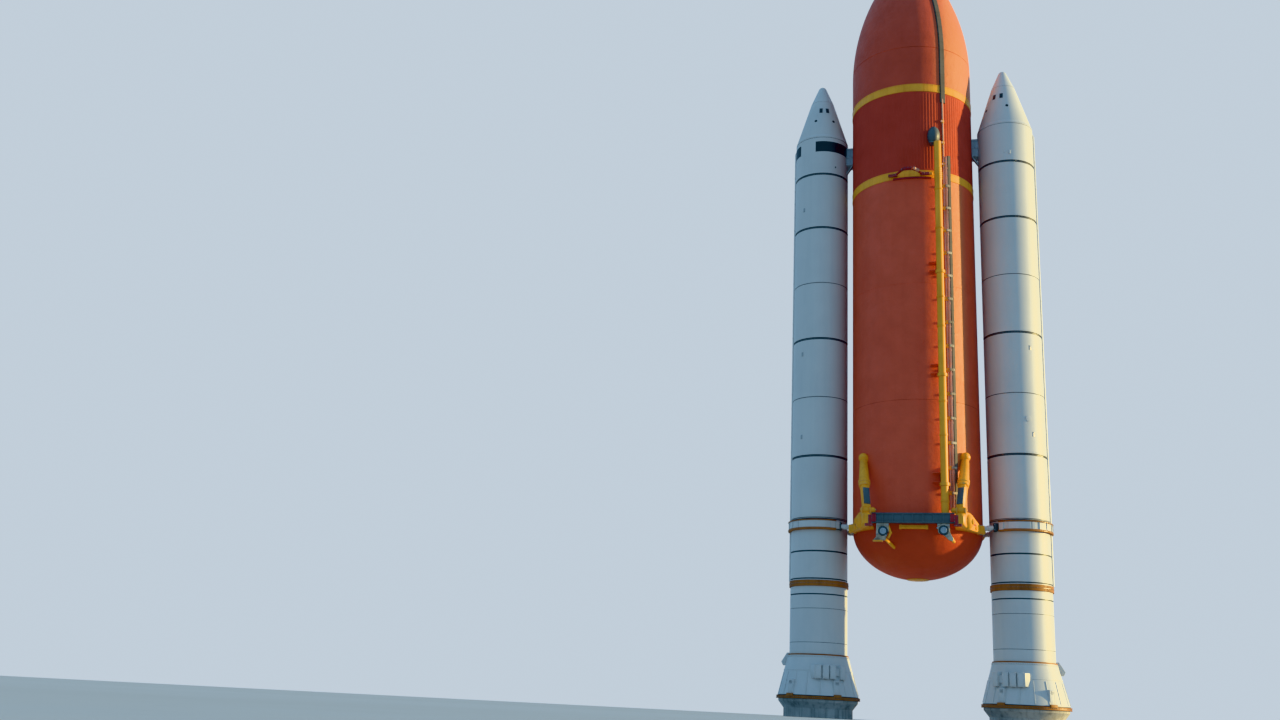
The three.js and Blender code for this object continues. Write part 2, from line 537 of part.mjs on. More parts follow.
// One booster, built about its own axis with its tank-side pieces turned toward the tank
function addBooster(parent, name, side) {
  const booster = new THREE.Group();
  booster.position.x = side * BOOSTER_X;
  parent.add(booster);
  const inboard = -side;
  const aimed = (geometry, azimuth) => geometry.rotateZ(radians(inboard * azimuth));
  const put = (piece, geometry, finish) => add(booster, `${name}_${piece}`, geometry, finish);
  const nearTank = tankSpace.clone().translate(inboard * BOOSTER_X, 0, 0);

  const plinth = [
    [PLINTH_R, 0],
    [PLINTH_R, PLINTH_WALL_TOP],
    [PLINTH_LIP_R, PLINTH_LIP_Z],
    [PLINTH_LIP_R, PLINTH_TOP],
  ];
  put("plinth", turnedBody(plinth, BOOSTER_SIDES), "concrete");
  const skirt = [
    [BASE_RING_R, PLINTH_TOP],
    [BASE_RING_R, BASE_RING_TOP],
    [SKIRT_BASE_R, BASE_RING_TOP + GAP],
    [SKIRT_TOP_R, SKIRT_TOP],
  ];
  const posts = POST_AZIMUTHS.map((azimuth) => aimed(block(POST_SIZE, [0, -POST_R, POST_Z]), azimuth));
  const coverOutline = COVER_OUTLINE.map((corner) => corner.map(real));
  const cover = carved(aimed(fin(coverOutline, COVER_WIDTH), -90), aftSegmentSpace);
  put("aft_skirt", joined(turnedBody(skirt, BOOSTER_SIDES), ...posts, cover), "white");
  const skirtSpace = turned([[0, PLINTH_TOP], ...skirt.map(([r, z]) => [r + GAP, z]), [0, SKIRT_TOP]],
    BOOSTER_SIDES);
  const boxes = MOTOR_AZIMUTHS.map((azimuth) => aimed(block(MOTOR_SIZE, [0, -MOTOR_R, MOTOR_Z]), azimuth));
  const railEnds = MOTOR_RAIL.azimuths.map((azimuth) => inboard * azimuth).sort((a, b) => a - b);
  const rail = sector(MOTOR_RAIL.radii, railEnds, MOTOR_RAIL.z, PIPE_SIDES);
  put("separation_motors", carved(joined(rail, ...boxes), skirtSpace), "white");

  const ringed = (...dimensions) => walledBody(ringedProfile(...dimensions), BOOSTER_WALL, BOOSTER_SIDES);
  const reveal = (height) => [height, height + REVEAL_HEIGHT];
  put("aft_segment", ringed(SKIRT_TOP, FIRST_JOINT, CASE_BAND_Z, CASE_BAND_PROUD), "white");
  SEGMENT_NAMES.forEach((segment, index) => {
    const low = FIRST_JOINT + index * SEGMENT_LENGTH;
    const high = low + SEGMENT_LENGTH;
    put(segment, ringed(low, high, reveal(middle([low, high])), -REVEAL_DEPTH), "white");
  });
  const skirtLow = FIRST_JOINT + SEGMENT_NAMES.length * SEGMENT_LENGTH;
  put("forward_skirt", ringed(skirtLow, FRUSTUM_BASE, reveal(skirtLow), -REVEAL_DEPTH), "white");
  const frustum = [[BOOSTER_R, FRUSTUM_BASE], [CAP_BASE_R, CAP_BASE]];
  put("frustum", walledBody(frustum, BOOSTER_WALL, BOOSTER_SIDES), "white");
  put("nose_cap", turned(capProfile(), BOOSTER_SIDES), "white");

  const tunnelY = [-BOOSTER_R - TUNNEL_PROUD, -BOOSTER_R + TUNNEL_PROUD];
  const tunnelX = [-TUNNEL_WIDTH / 2, TUNNEL_WIDTH / 2];
  const tunnel = aimed(blockBetween(tunnelX, tunnelY, TUNNEL_Z), -90);
  put("systems_tunnel", carved(tunnel, boosterSpace), "white");
  const notchX = [tunnelX[0] - GAP, tunnelX[1] + GAP];
  const notchY = [tunnelY[0] - GAP, tunnelY[1]];
  const notch = aimed(blockBetween(notchX, notchY, TUNNEL_Z), -90);
  const mouth = [inboard * 90 + ATTACH_RING_MOUTH, inboard * 90 + 360 - ATTACH_RING_MOUTH];
  const hoop = sector([BOOSTER_R - BAND_PROUD, ATTACH_RING_R], mouth, ATTACH_RING_Z, ATTACH_RING_STEPS);
  put("attach_ring", carved(hoop, boosterSpace, notch), "white");

  const towardTank = (distance) => inboard * distance;
  const fittingX = FORWARD_FITTING_INBOARD.map(towardTank).sort((a, b) => a - b);
  const fittingY = [-FORWARD_FITTING_WIDTH / 2, FORWARD_FITTING_WIDTH / 2];
  const fitting = blockBetween(fittingX, fittingY, FORWARD_FITTING_Z);
  const braceEnds = [BRACE_BOOSTER_END, BRACE_TANK_END].map(([x, z]) => [towardTank(x), BRACE_Y, z]);
  const brace = bar(...braceEnds, BRACE_R);
  put("forward_fitting", carved(joined(fitting, brace), boosterSpace, nearTank), "pale_blue");
  const fittingSpace = aftFittingShape(side, GAP).translate(inboard * BOOSTER_X, 0, 0);
  for (const [face, front] of [["front", -1], ["back", 1]]) {
    const ends = [LINK_BOOSTER, LINK_TANK].map(([x, y, z]) => [towardTank(x), front * y, z]);
    const socket = block(LINK_SOCKET, ends[0]);
    const pad = block(LINK_PAD, ends[1]);
    const link = joined(bar(...ends, LINK_R), socket, ...(front < 0 ? [] : [pad]));
    put(`aft_link_${face}`, carved(link, boosterSpace, nearTank, fittingSpace), "yellow");
  }
}

addTank(rocket);
addFeedLine(rocket);
addTrays(rocket);
addBipod(rocket);
addAftFrame(rocket);
addBooster(rocket, "left", -1);
addBooster(rocket, "right", 1);

export default rocket;
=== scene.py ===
"""Dresses a display rocket at one to two scale: a propellant tank carried between two solid boosters on plinths.

Sizes in the shape functions are the full-size rocket's, in metres above the floor and from the tank's axis.
They become model metres when a piece's mesh is written. A shape's paint is a place in its piece's finishes.
"""

import math

import bpy
import numpy as np
from bpy.props import FloatProperty, FloatVectorProperty, IntProperty, PointerProperty
from mathutils import Matrix, Vector


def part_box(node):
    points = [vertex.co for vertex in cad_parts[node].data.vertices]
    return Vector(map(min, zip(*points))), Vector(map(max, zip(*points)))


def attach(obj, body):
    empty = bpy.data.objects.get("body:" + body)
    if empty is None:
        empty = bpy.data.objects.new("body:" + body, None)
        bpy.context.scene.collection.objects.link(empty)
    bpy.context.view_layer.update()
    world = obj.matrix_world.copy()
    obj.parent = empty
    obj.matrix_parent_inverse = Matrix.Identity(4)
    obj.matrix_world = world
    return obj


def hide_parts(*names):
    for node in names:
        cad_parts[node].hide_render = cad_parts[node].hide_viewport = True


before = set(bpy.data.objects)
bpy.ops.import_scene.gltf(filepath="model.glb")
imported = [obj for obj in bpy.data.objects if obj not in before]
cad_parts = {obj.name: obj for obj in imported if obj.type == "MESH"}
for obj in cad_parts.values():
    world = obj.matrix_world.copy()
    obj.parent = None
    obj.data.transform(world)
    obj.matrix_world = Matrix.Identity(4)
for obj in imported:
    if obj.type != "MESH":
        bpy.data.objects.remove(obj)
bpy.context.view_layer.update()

bl_info = {
    "name": "Display rocket",
    "version": (1, 0, 0),
    "blender": (4, 5, 0),
    "location": "3D View > Sidebar > Rocket",
    "description": "Builds a half-scale display rocket: a tank, two solid boosters and their plinths",
    "category": "Add Mesh",
}

SCALE = 0.5
BARREL_LOW, BARREL_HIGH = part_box("tank_lower_barrel_1")
SEGMENT_LOW, SEGMENT_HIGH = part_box("right_forward_segment")
AXIS_Y = (BARREL_LOW[1] + BARREL_HIGH[1]) / 2
TANK_RADIUS = (BARREL_HIGH[0] - BARREL_LOW[0]) / 2
BOOSTER_RADIUS = (SEGMENT_HIGH[0] - SEGMENT_LOW[0]) / 2
BOOSTER_OFFSET = (SEGMENT_HIGH[0] + SEGMENT_LOW[0]) / 2

# Heights of the full-size rocket's joints above the floor
DOME_BOTTOM, DOME_TOP = 8.9, 12.01
BARREL_SEAMS = (12.01, 19.9, 27.8, 35.35)
INTERTANK = (35.91, 41.86)
UPPER_BARREL_LOW, OGIVE_START, OGIVE_SEAM, OGIVE_TOP = 42.43, 44.85, 45.34, 54.43
SKIRT_TOP, FIRST_JOINT, SEGMENT_LENGTH = 3.91, 12.61, 8.17
FRUSTUM_BASE, CAP_BASE, CAP_TOP = 40.15, 43.5, 45.0

# The radius of the ogive's arc, and how far the arc's middle lies beyond the tank's axis
OGIVE_ARC, OGIVE_SHIFT = 15.545, 11.395
DOME_CAP_RADIUS = 0.72

# The radii of a booster's nose cap at its base and at its round tip
CAP_RADIUS, TIP_RADIUS = 0.82, 0.3

# Columns of the round grids, points of a softened corner, and the angle from which an edge is sharp
TANK_COLUMNS, BOOSTER_COLUMNS, FOOT_COLUMNS = 256, 128, 160
SOFT_CORNER_POINTS = 4
SHARP_ANGLE = math.radians(32)

# A ring smaller than this is one point
NO_SIZE = 1e-7
# The largest bevel and the largest corner, as shares of the smallest side
LARGEST_BEVEL, LARGEST_CORNER = 0.45, 0.4
# How fast a block's corner shrinks as its bevel draws it in, and the least that a mitre is divided by
CORNER_SHRINK, SHARPEST_MITRE = 0.85, 0.35
# A direction with more than this much of up in it is crossed with X in place of up
STEEP = 0.9
# A stud's shoulder as a share of its height, its top as a share of its radius, and a ring's studs' height likewise
STUD_SHOULDER, STUD_TOP, STUD_HEIGHT = 0.7, 0.75, 0.7

SIDES = (("left", -1), ("right", 1))
UP, DOWN, FRONT = (0, 0, 1), (0, 0, -1), (0, -1, 0)
UPRIGHT = np.eye(3)
EVERY_OTHER = [0, 1, 0, 1, 0, 1, 0, 1, 0]
WHITE = ("booster_white", "joint_slate", "rust_band", "bare_steel", "black_paint")


# Shapes worked out on grids

def outward(points, groups):
    """Turns the faces so that their signed volume, the sum of the fans' triple products, is positive."""
    centre = points.mean(axis=0)
    total = 0.0
    for faces, _, _ in groups:
        corner = points[faces] - centre
        first = np.broadcast_to(corner[:, :1], corner[:, 1:-1].shape)
        total += np.einsum("kij,kij->", np.cross(corner[:, 1:-1], corner[:, 2:]), first)
    if total < 0:
        groups = [(faces[:, ::-1], paint, wear) for faces, paint, wear in groups]
    return points, groups


def skin(rows, paint=0, wear=0.0):
    """Quads between each ring of a grid and the next; a ring of no size is one point, and open ends get a face."""
    count, around = rows.shape[:2]
    index = np.arange(count * around).reshape(count, around)
    pole = np.ptp(rows, axis=1).max(axis=1) < NO_SIZE
    index[pole] = index[pole][:, :1]
    here, there = index[:-1], index[1:]
    quads = np.stack([here, np.roll(here, -1, 1), np.roll(there, -1, 1), there], axis=-1)
    spread = [np.asarray(value, float) for value in (paint, wear)]
    spread = [value[:, None] if value.ndim == 1 else value for value in spread]
    paints, wears = (np.broadcast_to(value, (count - 1, around)) for value in spread)
    groups = []
    low, high = pole[:-1], pole[1:]
    for chosen, corners in ((~low & ~high, [0, 1, 2, 3]), (low & ~high, [0, 2, 3]), (~low & high, [0, 1, 2])):
        if chosen.any():
            faces = quads[chosen][..., corners].reshape(-1, len(corners))
            groups.append((faces, paints[chosen].ravel(), wears[chosen].ravel()))
    if not pole[0]:
        groups.append((index[:1, ::-1], paints[:1, 0], np.zeros(1)))
    if not pole[-1]:
        groups.append((index[-1:], paints[-1:, 0], np.zeros(1)))
    return outward(rows.reshape(-1, 3), groups)


def polar(azimuth, radius, height, axis=0.0):
    """Points round an upright axis: x = axis + r sin a, y = -r cos a, with azimuths in degrees from the front."""
    turn = np.radians(azimuth)
    return np.stack(np.broadcast_arrays(axis + radius * np.sin(turn), -radius * np.cos(turn), height), axis=-1)


def leaning(azimuth, lean):
    """The directions along, up and out of a wall at an azimuth that leans inward by an angle, as rows."""
    turn = math.radians(azimuth)
    along, out = np.array([math.cos(turn), math.sin(turn), 0]), np.array([math.sin(turn), -math.cos(turn), 0])
    return np.stack([along, np.multiply(UP, math.cos(lean)) - out * math.sin(lean),
                     out * math.cos(lean) + np.multiply(UP, math.sin(lean))])


def facing(azimuth):
    """The directions along, up and out of an upright wall at an azimuth, as rows."""
    return leaning(azimuth, 0.0)


def turned(profile, axis=0.0, columns=BOOSTER_COLUMNS, paint=0, wear=0.0, ripple=None):
    """A profile of radius and height turned round an upright axis, its radius moved by a ripple of the azimuth."""
    radius, height = np.asarray(profile, float).T[:, :, None]
    azimuth = np.linspace(0, 360, columns, endpoint=False)[None]
    if ripple is not None:
        radius = radius + np.where(radius > 0, ripple(azimuth, height), 0)
    return skin(polar(azimuth, radius, height, axis), paint, wear)


def bowed(section, span, axis=0.0, steps=24, paint=0):
    """A closed section of radius and height carried round an upright axis between two azimuths."""
    radius, height = np.asarray(section, float).T[:, None]
    return skin(polar(np.linspace(*span, steps)[:, None], radius, height, axis), paint)


def rounded(width, height, corner, steps=2):
    """A rectangle round the origin whose corners are quarter circles; the sizes may be columns of values."""
    turn = np.radians(np.arange(4)[:, None] * 90 + np.linspace(0, 90, steps + 1)).ravel()
    signs = np.repeat([[1, 1], [-1, 1], [-1, -1], [1, -1]], steps + 1, axis=0)
    across = signs[:, 0] * (width / 2 - corner) + corner * np.cos(turn)
    along = signs[:, 1] * (height / 2 - corner) + corner * np.sin(turn)
    return np.stack([across, along], axis=-1)


def easing(depth, bevel, steps=2):
    """How far a ring is drawn in, and where it lies, as a bevel's quarter circle goes up both ends of a depth."""
    turn = np.linspace(0, np.pi / 2, steps + 1)
    drawn, rise = bevel * (1 - np.sin(turn)), bevel * (1 - np.cos(turn))
    return np.concatenate([drawn, drawn[::-1]]), np.concatenate([rise - depth / 2, depth / 2 - rise[::-1]])


def raised(outlines, levels):
    """Gives each flat ring its level as the third coordinate."""
    return np.concatenate([outlines, np.broadcast_to(levels[:, None, None], outlines.shape[:2] + (1,))], axis=-1)


def block(centre, size, turn=UPRIGHT, bevel=0.02, paint=0, steps=2):
    """A rounded rectangle carried along its third direction and drawn in at both ends by a quarter circle."""
    width, height, depth = size
    bevel = min(bevel, min(size) * LARGEST_BEVEL)
    drawn, level = easing(depth, bevel, steps)
    column = drawn[:, None]
    outline = rounded(width - 2 * column, height - 2 * column, bevel - CORNER_SHRINK * column, steps)
    wear = np.ones((len(drawn) - 1, outline.shape[1]))
    wear[steps, steps::steps + 1] = 0
    return skin(np.asarray(centre) + raised(outline, level) @ turn, paint, wear)


def softened(outline, radius):
    """An outline whose corners are each a parabola between two points a radius away along their edges."""
    outline = np.asarray(outline, float)
    before, after = np.roll(outline, 1, 0) - outline, np.roll(outline, -1, 0) - outline
    before, after = (side / np.linalg.norm(side, axis=1, keepdims=True) for side in (before, after))
    share = np.linspace(0, 1, SOFT_CORNER_POINTS)[:, None, None]
    start, end = outline + before * radius, outline + after * radius
    arc = start * (1 - share) ** 2 + 2 * outline * share * (1 - share) + end * share ** 2
    return arc.transpose(1, 0, 2).reshape(-1, 2)


def plate(outline, centre, depth, turn=UPRIGHT, bevel=0.015, paint=0):
    """An outline carried straight through a depth, drawn in along its mitred corners."""
    outline = np.asarray(outline, float)
    if np.cross(outline, np.roll(outline, -1, 0)).sum() < 0:
        outline = outline[::-1]
    edge = np.roll(outline, -1, 0) - outline
    inward = np.stack([-edge[:, 1], edge[:, 0]], axis=-1) / np.linalg.norm(edge, axis=1, keepdims=True)
    other = np.roll(inward, 1, 0)
    mitre = (inward + other) / np.maximum(1 + (inward * other).sum(axis=1, keepdims=True), SHARPEST_MITRE)
    drawn, level = easing(depth, bevel)
    wear = np.ones(len(drawn) - 1)
    wear[len(wear) // 2] = 0
    flat = outline[None] + drawn[:, None, None] * mitre[None]
    return skin(np.asarray(centre) + raised(flat, level) @ turn, paint, wear)


def axes_along(start, end):
    """Two directions across a line and the one along it, as rows."""
    along = np.asarray(end, float) - start
    along = along / np.linalg.norm(along)
    across = np.cross(UP if abs(along[2]) < STEEP else (1.0, 0, 0), along)
    across = across / np.linalg.norm(across)
    return np.stack([across, np.cross(along, across), along])


def spun(start, end, profile, columns=28, paint=0, wear=0.0):
    """A profile of distance and radius carried round the line from start towards end."""
    distance, radius = np.asarray(profile, float).T[:, :, None]
    turn = np.linspace(0, 2 * np.pi, columns, endpoint=False)[None]
    local = np.stack(np.broadcast_arrays(radius * np.cos(turn), radius * np.sin(turn), distance), axis=-1)
    return skin(np.asarray(start) + local @ axes_along(start, end), paint, wear)


def rod(start, end, radius, columns=24, bevel=0.02, paint=0):
    """A round bar between two points, of one radius or tapered between two, with a bevelled rim at each end."""
    length = float(np.linalg.norm(np.subtract(end, start)))
    first, last = (radius, radius) if np.isscalar(radius) else radius
    profile = [(0, 0), (0, first - bevel), (bevel, first), (length - bevel, last), (length, last - bevel), (length, 0)]
    return spun(start, end, profile, columns, paint, [0, 1, 0, 1, 0])


def ball(centre, radii, columns=32, rows=17, paint=0):
    """An ellipsoid: the centre plus each radius times the direction at a latitude and a longitude."""
    latitude = np.linspace(-np.pi / 2, np.pi / 2, rows)[:, None]
    longitude = np.linspace(0, 2 * np.pi, columns, endpoint=False)[None]
    flat = np.cos(latitude)
    flat[[0, -1]] = 0
    local = np.stack([flat * np.cos(longitude), flat * np.sin(longitude),
                      np.broadcast_to(np.sin(latitude), (rows, columns))], axis=-1)
    return skin(np.asarray(centre) + local * np.asarray(radii), paint)


def swept(section, path, across, out, paint=0):
    """A closed section carried along a path: path + u across + v out at each of the path's points."""
    section = np.asarray(section, float)
    across, out = (np.broadcast_to(value, path.shape)[:, None] for value in (across, out))
    return skin(path[:, None] + section[None, :, :1] * across + section[None, :, 1:] * out, paint)


def spar(path, widths, heights, turn, corner):
    """A rounded rectangle carried along a path, its width and height given at each of the path's points."""
    corner = np.minimum(corner, np.minimum(widths, heights) * LARGEST_CORNER)[:, None]
    outline = rounded(np.asarray(widths, float)[:, None], np.asarray(heights, float)[:, None], corner)
    return skin(np.asarray(path, float)[:, None] + outline[..., :1] * turn[0] + outline[..., 1:] * turn[1])


def studs(places, out, radius, height, sides=6, paint=0):
    """Copies of a small drum with a drawn-in top, one at each place along its outward direction."""
    places = np.atleast_2d(np.asarray(places, float))
    out = np.broadcast_to(np.asarray(out, float), places.shape)
    across = np.cross(np.where(np.abs(out[:, 2:]) < STEEP, [[0, 0, 1.0]], [[1.0, 0, 0]]), out)
    across /= np.linalg.norm(across, axis=1, keepdims=True)
    axes = np.stack([across, np.cross(out, across), out], axis=1)
    turn = np.linspace(0, 2 * np.pi, sides, endpoint=False)
    ring = np.stack([np.cos(turn), np.sin(turn)], axis=-1)
    levels = ((radius, -height), (radius, height * STUD_SHOULDER), (radius * STUD_TOP, height))
    local = np.concatenate([np.column_stack([ring * size, np.full(sides, level)]) for size, level in levels])
    points = places[:, None] + np.einsum("vi,kij->kvj", local, axes)
    here = np.arange(sides)
    wall = np.stack([here, (here + 1) % sides, (here + 1) % sides + sides, here + sides], axis=-1)
    shift = (np.arange(len(places)) * 3 * sides)[:, None, None]
    groups = []
    for faces in (np.concatenate([wall, wall + sides]), here[None, ::-1], here[None] + 2 * sides):
        copies = (faces[None] + shift).reshape(-1, faces.shape[1])
        groups.append((copies, np.full(len(copies), paint), np.zeros(len(copies))))
    return outward(points.reshape(-1, 3), groups)


def stud_ring(count, radius, height, size, axis=0.0, paint=0):
    """Studs spaced evenly all round an upright axis."""
    azimuth = np.linspace(0, 360, count, endpoint=False)
    out = polar(azimuth, 1.0, 0.0)
    return studs(polar(azimuth, radius, height, axis), out, size, size * STUD_HEIGHT, paint=paint)


def ringed(radius, low, high, rings):
    """The profile of a drum with bands that stand proud or lie in it, and the finish of each of its rows."""
    edge, lip = 0.014, 0.006
    profile, paints = [(0, low), (radius - edge, low), (radius, low + edge)], [0, 0]
    for bottom, top, proud, paint in rings:
        profile += [(radius, bottom), (radius + proud, bottom + lip), (radius + proud, top - lip), (radius, top)]
        paints += [0, paint, paint, paint]
    profile += [(radius, high - edge), (radius - edge, high), (0, high)]
    return profile, paints + [0, 0, 0]


def twofold(half):
    """Half an outline, then its mirror image back to where it started."""
    return [*half, *((-across, out) for across, out in reversed(half))]


# Finishes

class Graph:
    """Adds nodes to a tree and joins them through the names of their sockets."""

    def __init__(self, tree):
        self.tree = tree

    def give(self, socket, value):
        if isinstance(value, bpy.types.NodeSocket):
            self.tree.links.new(value, socket)
        else:
            socket.default_value = value

    def add(self, kind, inputs=(), **settings):
        node = self.tree.nodes.new(kind)
        for name, value in settings.items():
            setattr(node, name, value)
        for name, value in dict(inputs).items():
            self.give(node.inputs[name], value)
        return node

    def place(self):
        return self.add("ShaderNodeTexCoord").outputs["Object"]

    def math(self, operation, first, second, clamp=False):
        return self.add("ShaderNodeMath", {0: first, 1: second}, operation=operation, use_clamp=clamp).outputs[0]

    def times(self, first, second, clamp=False):
        return self.math("MULTIPLY", first, second, clamp)

    def mix(self, share, first, second):
        """The mix node's sockets for colours are its inputs 6 and 7 and its output 2."""
        return self.add("ShaderNodeMix", {0: share, 6: first, 7: second}, data_type="RGBA").outputs[2]

    def noise(self, coordinates, scale, detail=3.0, roughness=0.55):
        inputs = {"Vector": coordinates, "Scale": scale, "Detail": detail, "Roughness": roughness}
        return self.add("ShaderNodeTexNoise", inputs).outputs["Fac"]

    def spread(self, value, low, high, to_low=0.0, to_high=1.0):
        inputs = {"Value": value, "From Min": low, "From Max": high, "To Min": to_low, "To Max": to_high}
        return self.add("ShaderNodeMapRange", inputs).outputs["Result"]

    def effect(self, name, **inputs):
        return self.add("ShaderNodeGroup", inputs, node_tree=shared_effect(name)).outputs


def weathering(g, entry):
    """Stains in soft patches, streaks that run down and fine specks, over one paint."""
    place = g.place()
    long = g.add("ShaderNodeMapping", {"Vector": place, "Scale": (1, 1, 0.05)}).outputs["Vector"]
    mask = 0.0
    for amount, where, scale, detail, roughness, low, high in (
            ("Patches", place, 0.7, 5.0, 0.55, 0.42, 0.72), ("Streaks", long, 5.0, 4.0, 0.6, 0.48, 0.78),
            ("Specks", place, 26.0, 2.0, 0.55, 0.62, 0.72)):
        layer = g.spread(g.noise(where, g.times(entry["Size"], scale), detail, roughness), low, high)
        mask = g.math("ADD", mask, g.times(layer, entry[amount]), clamp=True)
    fine = g.math("SUBTRACT", g.noise(place, g.times(entry["Size"], 9.0), 4.0, 0.65), 0.5)
    rough = g.math("ADD", entry["Roughness"], g.times(fine, 0.35), clamp=True)
    rough = g.math("ADD", rough, g.times(mask, 0.2), clamp=True)
    return {"Color": g.mix(mask, entry["Paint"], entry["Stain"]), "Roughness": rough}


def edge_wear(g, entry):
    """Bare material along the bevels, broken up by noise."""
    edge = g.add("ShaderNodeAttribute", attribute_name="edge_wear").outputs["Fac"]
    broken = g.spread(g.noise(g.place(), 22.0, 5.0, 0.7), 0.44, 0.60)
    mask = g.times(g.times(edge, broken), entry["Amount"], clamp=True)
    return {"Color": g.mix(mask, entry["Color"], entry["Bare"])}


def grain(g, entry):
    """The height of a sprayed surface: fine noise over soft lumps."""
    place = g.place()
    lumps = g.noise(place, g.times(entry["Scale"], 0.12), 2.0)
    return {"Height": g.math("ADD", g.noise(place, entry["Scale"], 4.0, 0.7), g.times(lumps, entry["Lumps"]))}


def seam_rings(g, entry):
    """Thin level lines at an even pitch up the piece."""
    height = g.add("ShaderNodeSeparateXYZ", {"Vector": g.place()}).outputs["Z"]
    turns = g.math("DIVIDE", g.math("SUBTRACT", height, entry["Start"]), entry["Pitch"])
    off = g.times(g.math("PINGPONG", turns, 0.5), entry["Pitch"])
    return {"Mask": g.spread(off, 0.0, entry["Width"], 1.0, 0.0)}


EFFECTS = {
    "weathering": (weathering, ("Paint", "Stain", "Patches", "Streaks", "Specks", "Size", "Roughness")),
    "edge wear": (edge_wear, ("Color", "Bare", "Amount")),
    "grain": (grain, ("Scale", "Lumps")),
    "seam rings": (seam_rings, ("Start", "Pitch", "Width")),
}
COLOUR_SOCKETS = ("Paint", "Stain", "Color", "Bare")


def shared_effect(name):
    """The node group of that name, built the first time that a finish asks for it."""
    if name in bpy.data.node_groups:
        return bpy.data.node_groups[name]
    build, inputs = EFFECTS[name]
    tree = bpy.data.node_groups.new(name, "ShaderNodeTree")

    def sockets(names, way):
        for socket in names:
            kind = "NodeSocketColor" if socket in COLOUR_SOCKETS else "NodeSocketFloat"
            tree.interface.new_socket(name=socket, in_out=way, socket_type=kind)

    g = Graph(tree)
    sockets(inputs, "INPUT")
    results = build(g, g.add("NodeGroupInput").outputs)
    sockets(results, "OUTPUT")
    g.add("NodeGroupOutput", results)
    return tree


def colour(value):
    return (*value[:3], 1.0)


# Each finish: its paint, its stain, patches, streaks, specks, their size, roughness and edge wear
FINISHES = {
    "tank_foam_painted_sun": ("foam", (0.62, 0.10, 0.048), 0.4, 0.22, 0.1, 0.8, 0.5, 0.0),
    # The ogive's foam is the tank foam painted darker, which is painted shade for the sky light on the upward-leaning
    # ogive
    "ogive_foam_painted_light": ("ogive", (0.46, 0.075, 0.036), 0.4, 0.22, 0.1, 0.8, 0.5, 0.0),
    # The dome's foam is partly its own darker orange and partly painted shade against the light thrown up from the
    # floor
    "dome_foam_and_painted_shade": ("dome", (0.56, 0.06, 0.02), 0.4, 0.22, 0.1, 0.8, 0.5, 0.0),
    "seam_foam": ("foam", (0.10, 0.012, 0.008), 0.9, 0.5, 0.2, 0.8, 0.9, 0.0),
    "stringer_foam": ("intertank", (0.46, 0.07, 0.04), 0.4, 0.3, 0.15, 1.0, 0.82, 0.0),
    "golden_paint": ("golden", (0.55, 0.19, 0.02), 0.35, 0.4, 0.25, 2.2, 0.4, 0.5),
    "booster_white": ("white", (0.44, 0.48, 0.49), 0.22, 0.16, 0.14, 0.9, 0.42, 0.35),
    "navy_enamel": ("navy", (0.10, 0.10, 0.095), 0.5, 0.4, 0.3, 2.4, 0.45, 0.5),
    "maroon_enamel": ("maroon", (0.12, 0.02, 0.02), 0.5, 0.4, 0.3, 2.4, 0.5, 0.6),
    "tray_grey": ("tray", (0.09, 0.075, 0.055), 0.5, 0.45, 0.3, 2.0, 0.55, 0.5),
    "pale_blue_enamel": ("pale_blue", (0.16, 0.17, 0.17), 0.4, 0.4, 0.3, 2.2, 0.4, 0.6),
    "plate_grey": ("plate", (0.07, 0.055, 0.04), 0.75, 0.4, 0.4, 7.0, 0.45, 0.6),
    "black_paint": ("black", (0.05, 0.05, 0.055), 0.4, 0.4, 0.3, 1.8, 0.4, 0.4),
    "joint_slate": ("slate", (0.02, 0.03, 0.035), 0.5, 0.3, 0.4, 2.5, 0.5, 0.4),
    "rust_band": ("rust", (0.14, 0.045, 0.012), 0.5, 0.4, 0.3, 2.0, 0.55, 0.4),
    # Line grey also paints the pale rod on the bipod, a painted highlight
    "line_grey_and_highlight": ("line", (0.12, 0.085, 0.07), 0.4, 0.4, 0.2, 2.0, 0.6, 0.3),
    "bare_steel": ("steel", (0.16, 0.15, 0.14), 0.4, 0.4, 0.3, 3.0, 0.34, 0.0),
    "cast_concrete": ("concrete", (0.20, 0.19, 0.17), 0.6, 0.7, 0.5, 1.6, 0.85, 0.6),
}
WORN_METAL, WORN_CONCRETE = (0.42, 0.40, 0.37), (0.62, 0.60, 0.55)

# Each grain: its scale, its lumps, and the bump's strength and distance
FOAM_GRAIN, PLAIN_GRAIN = (34.0, 1.6, 0.5, 0.02), (90.0, 0.5, 0.18, 0.004)
GRAINS = {"stringer_foam": (38.0, 1.2, 0.45, 0.016), "cast_concrete": (60.0, 0.8, 0.5, 0.01)}


# On the foam: the lines between its belts, its bright patches, and where along X a paler strip of painted
# sunlight starts toward the key light and, on the tank, ends at the booster's shadow; each with the share that shows
BELT_PITCH, BELT_LINE, BELT_SHARE = 0.6575, 0.006, 0.12
PATCH_SCALE, PATCH_RANGE, PATCH_GAIN, PATCH_LIFT, PATCH_SHARE = 1.7, (0.35, 0.75), 1.25, 0.01, 0.35
SUN_PAINT_IN, SUN_PAINT_OUT, SUN_PAINT_GREEN, SUN_PAINT_BLUE, SUN_PAINT_SHARE = (0.8, 1.35), (1.8, 1.6), 1.95, 1.6, 0.75


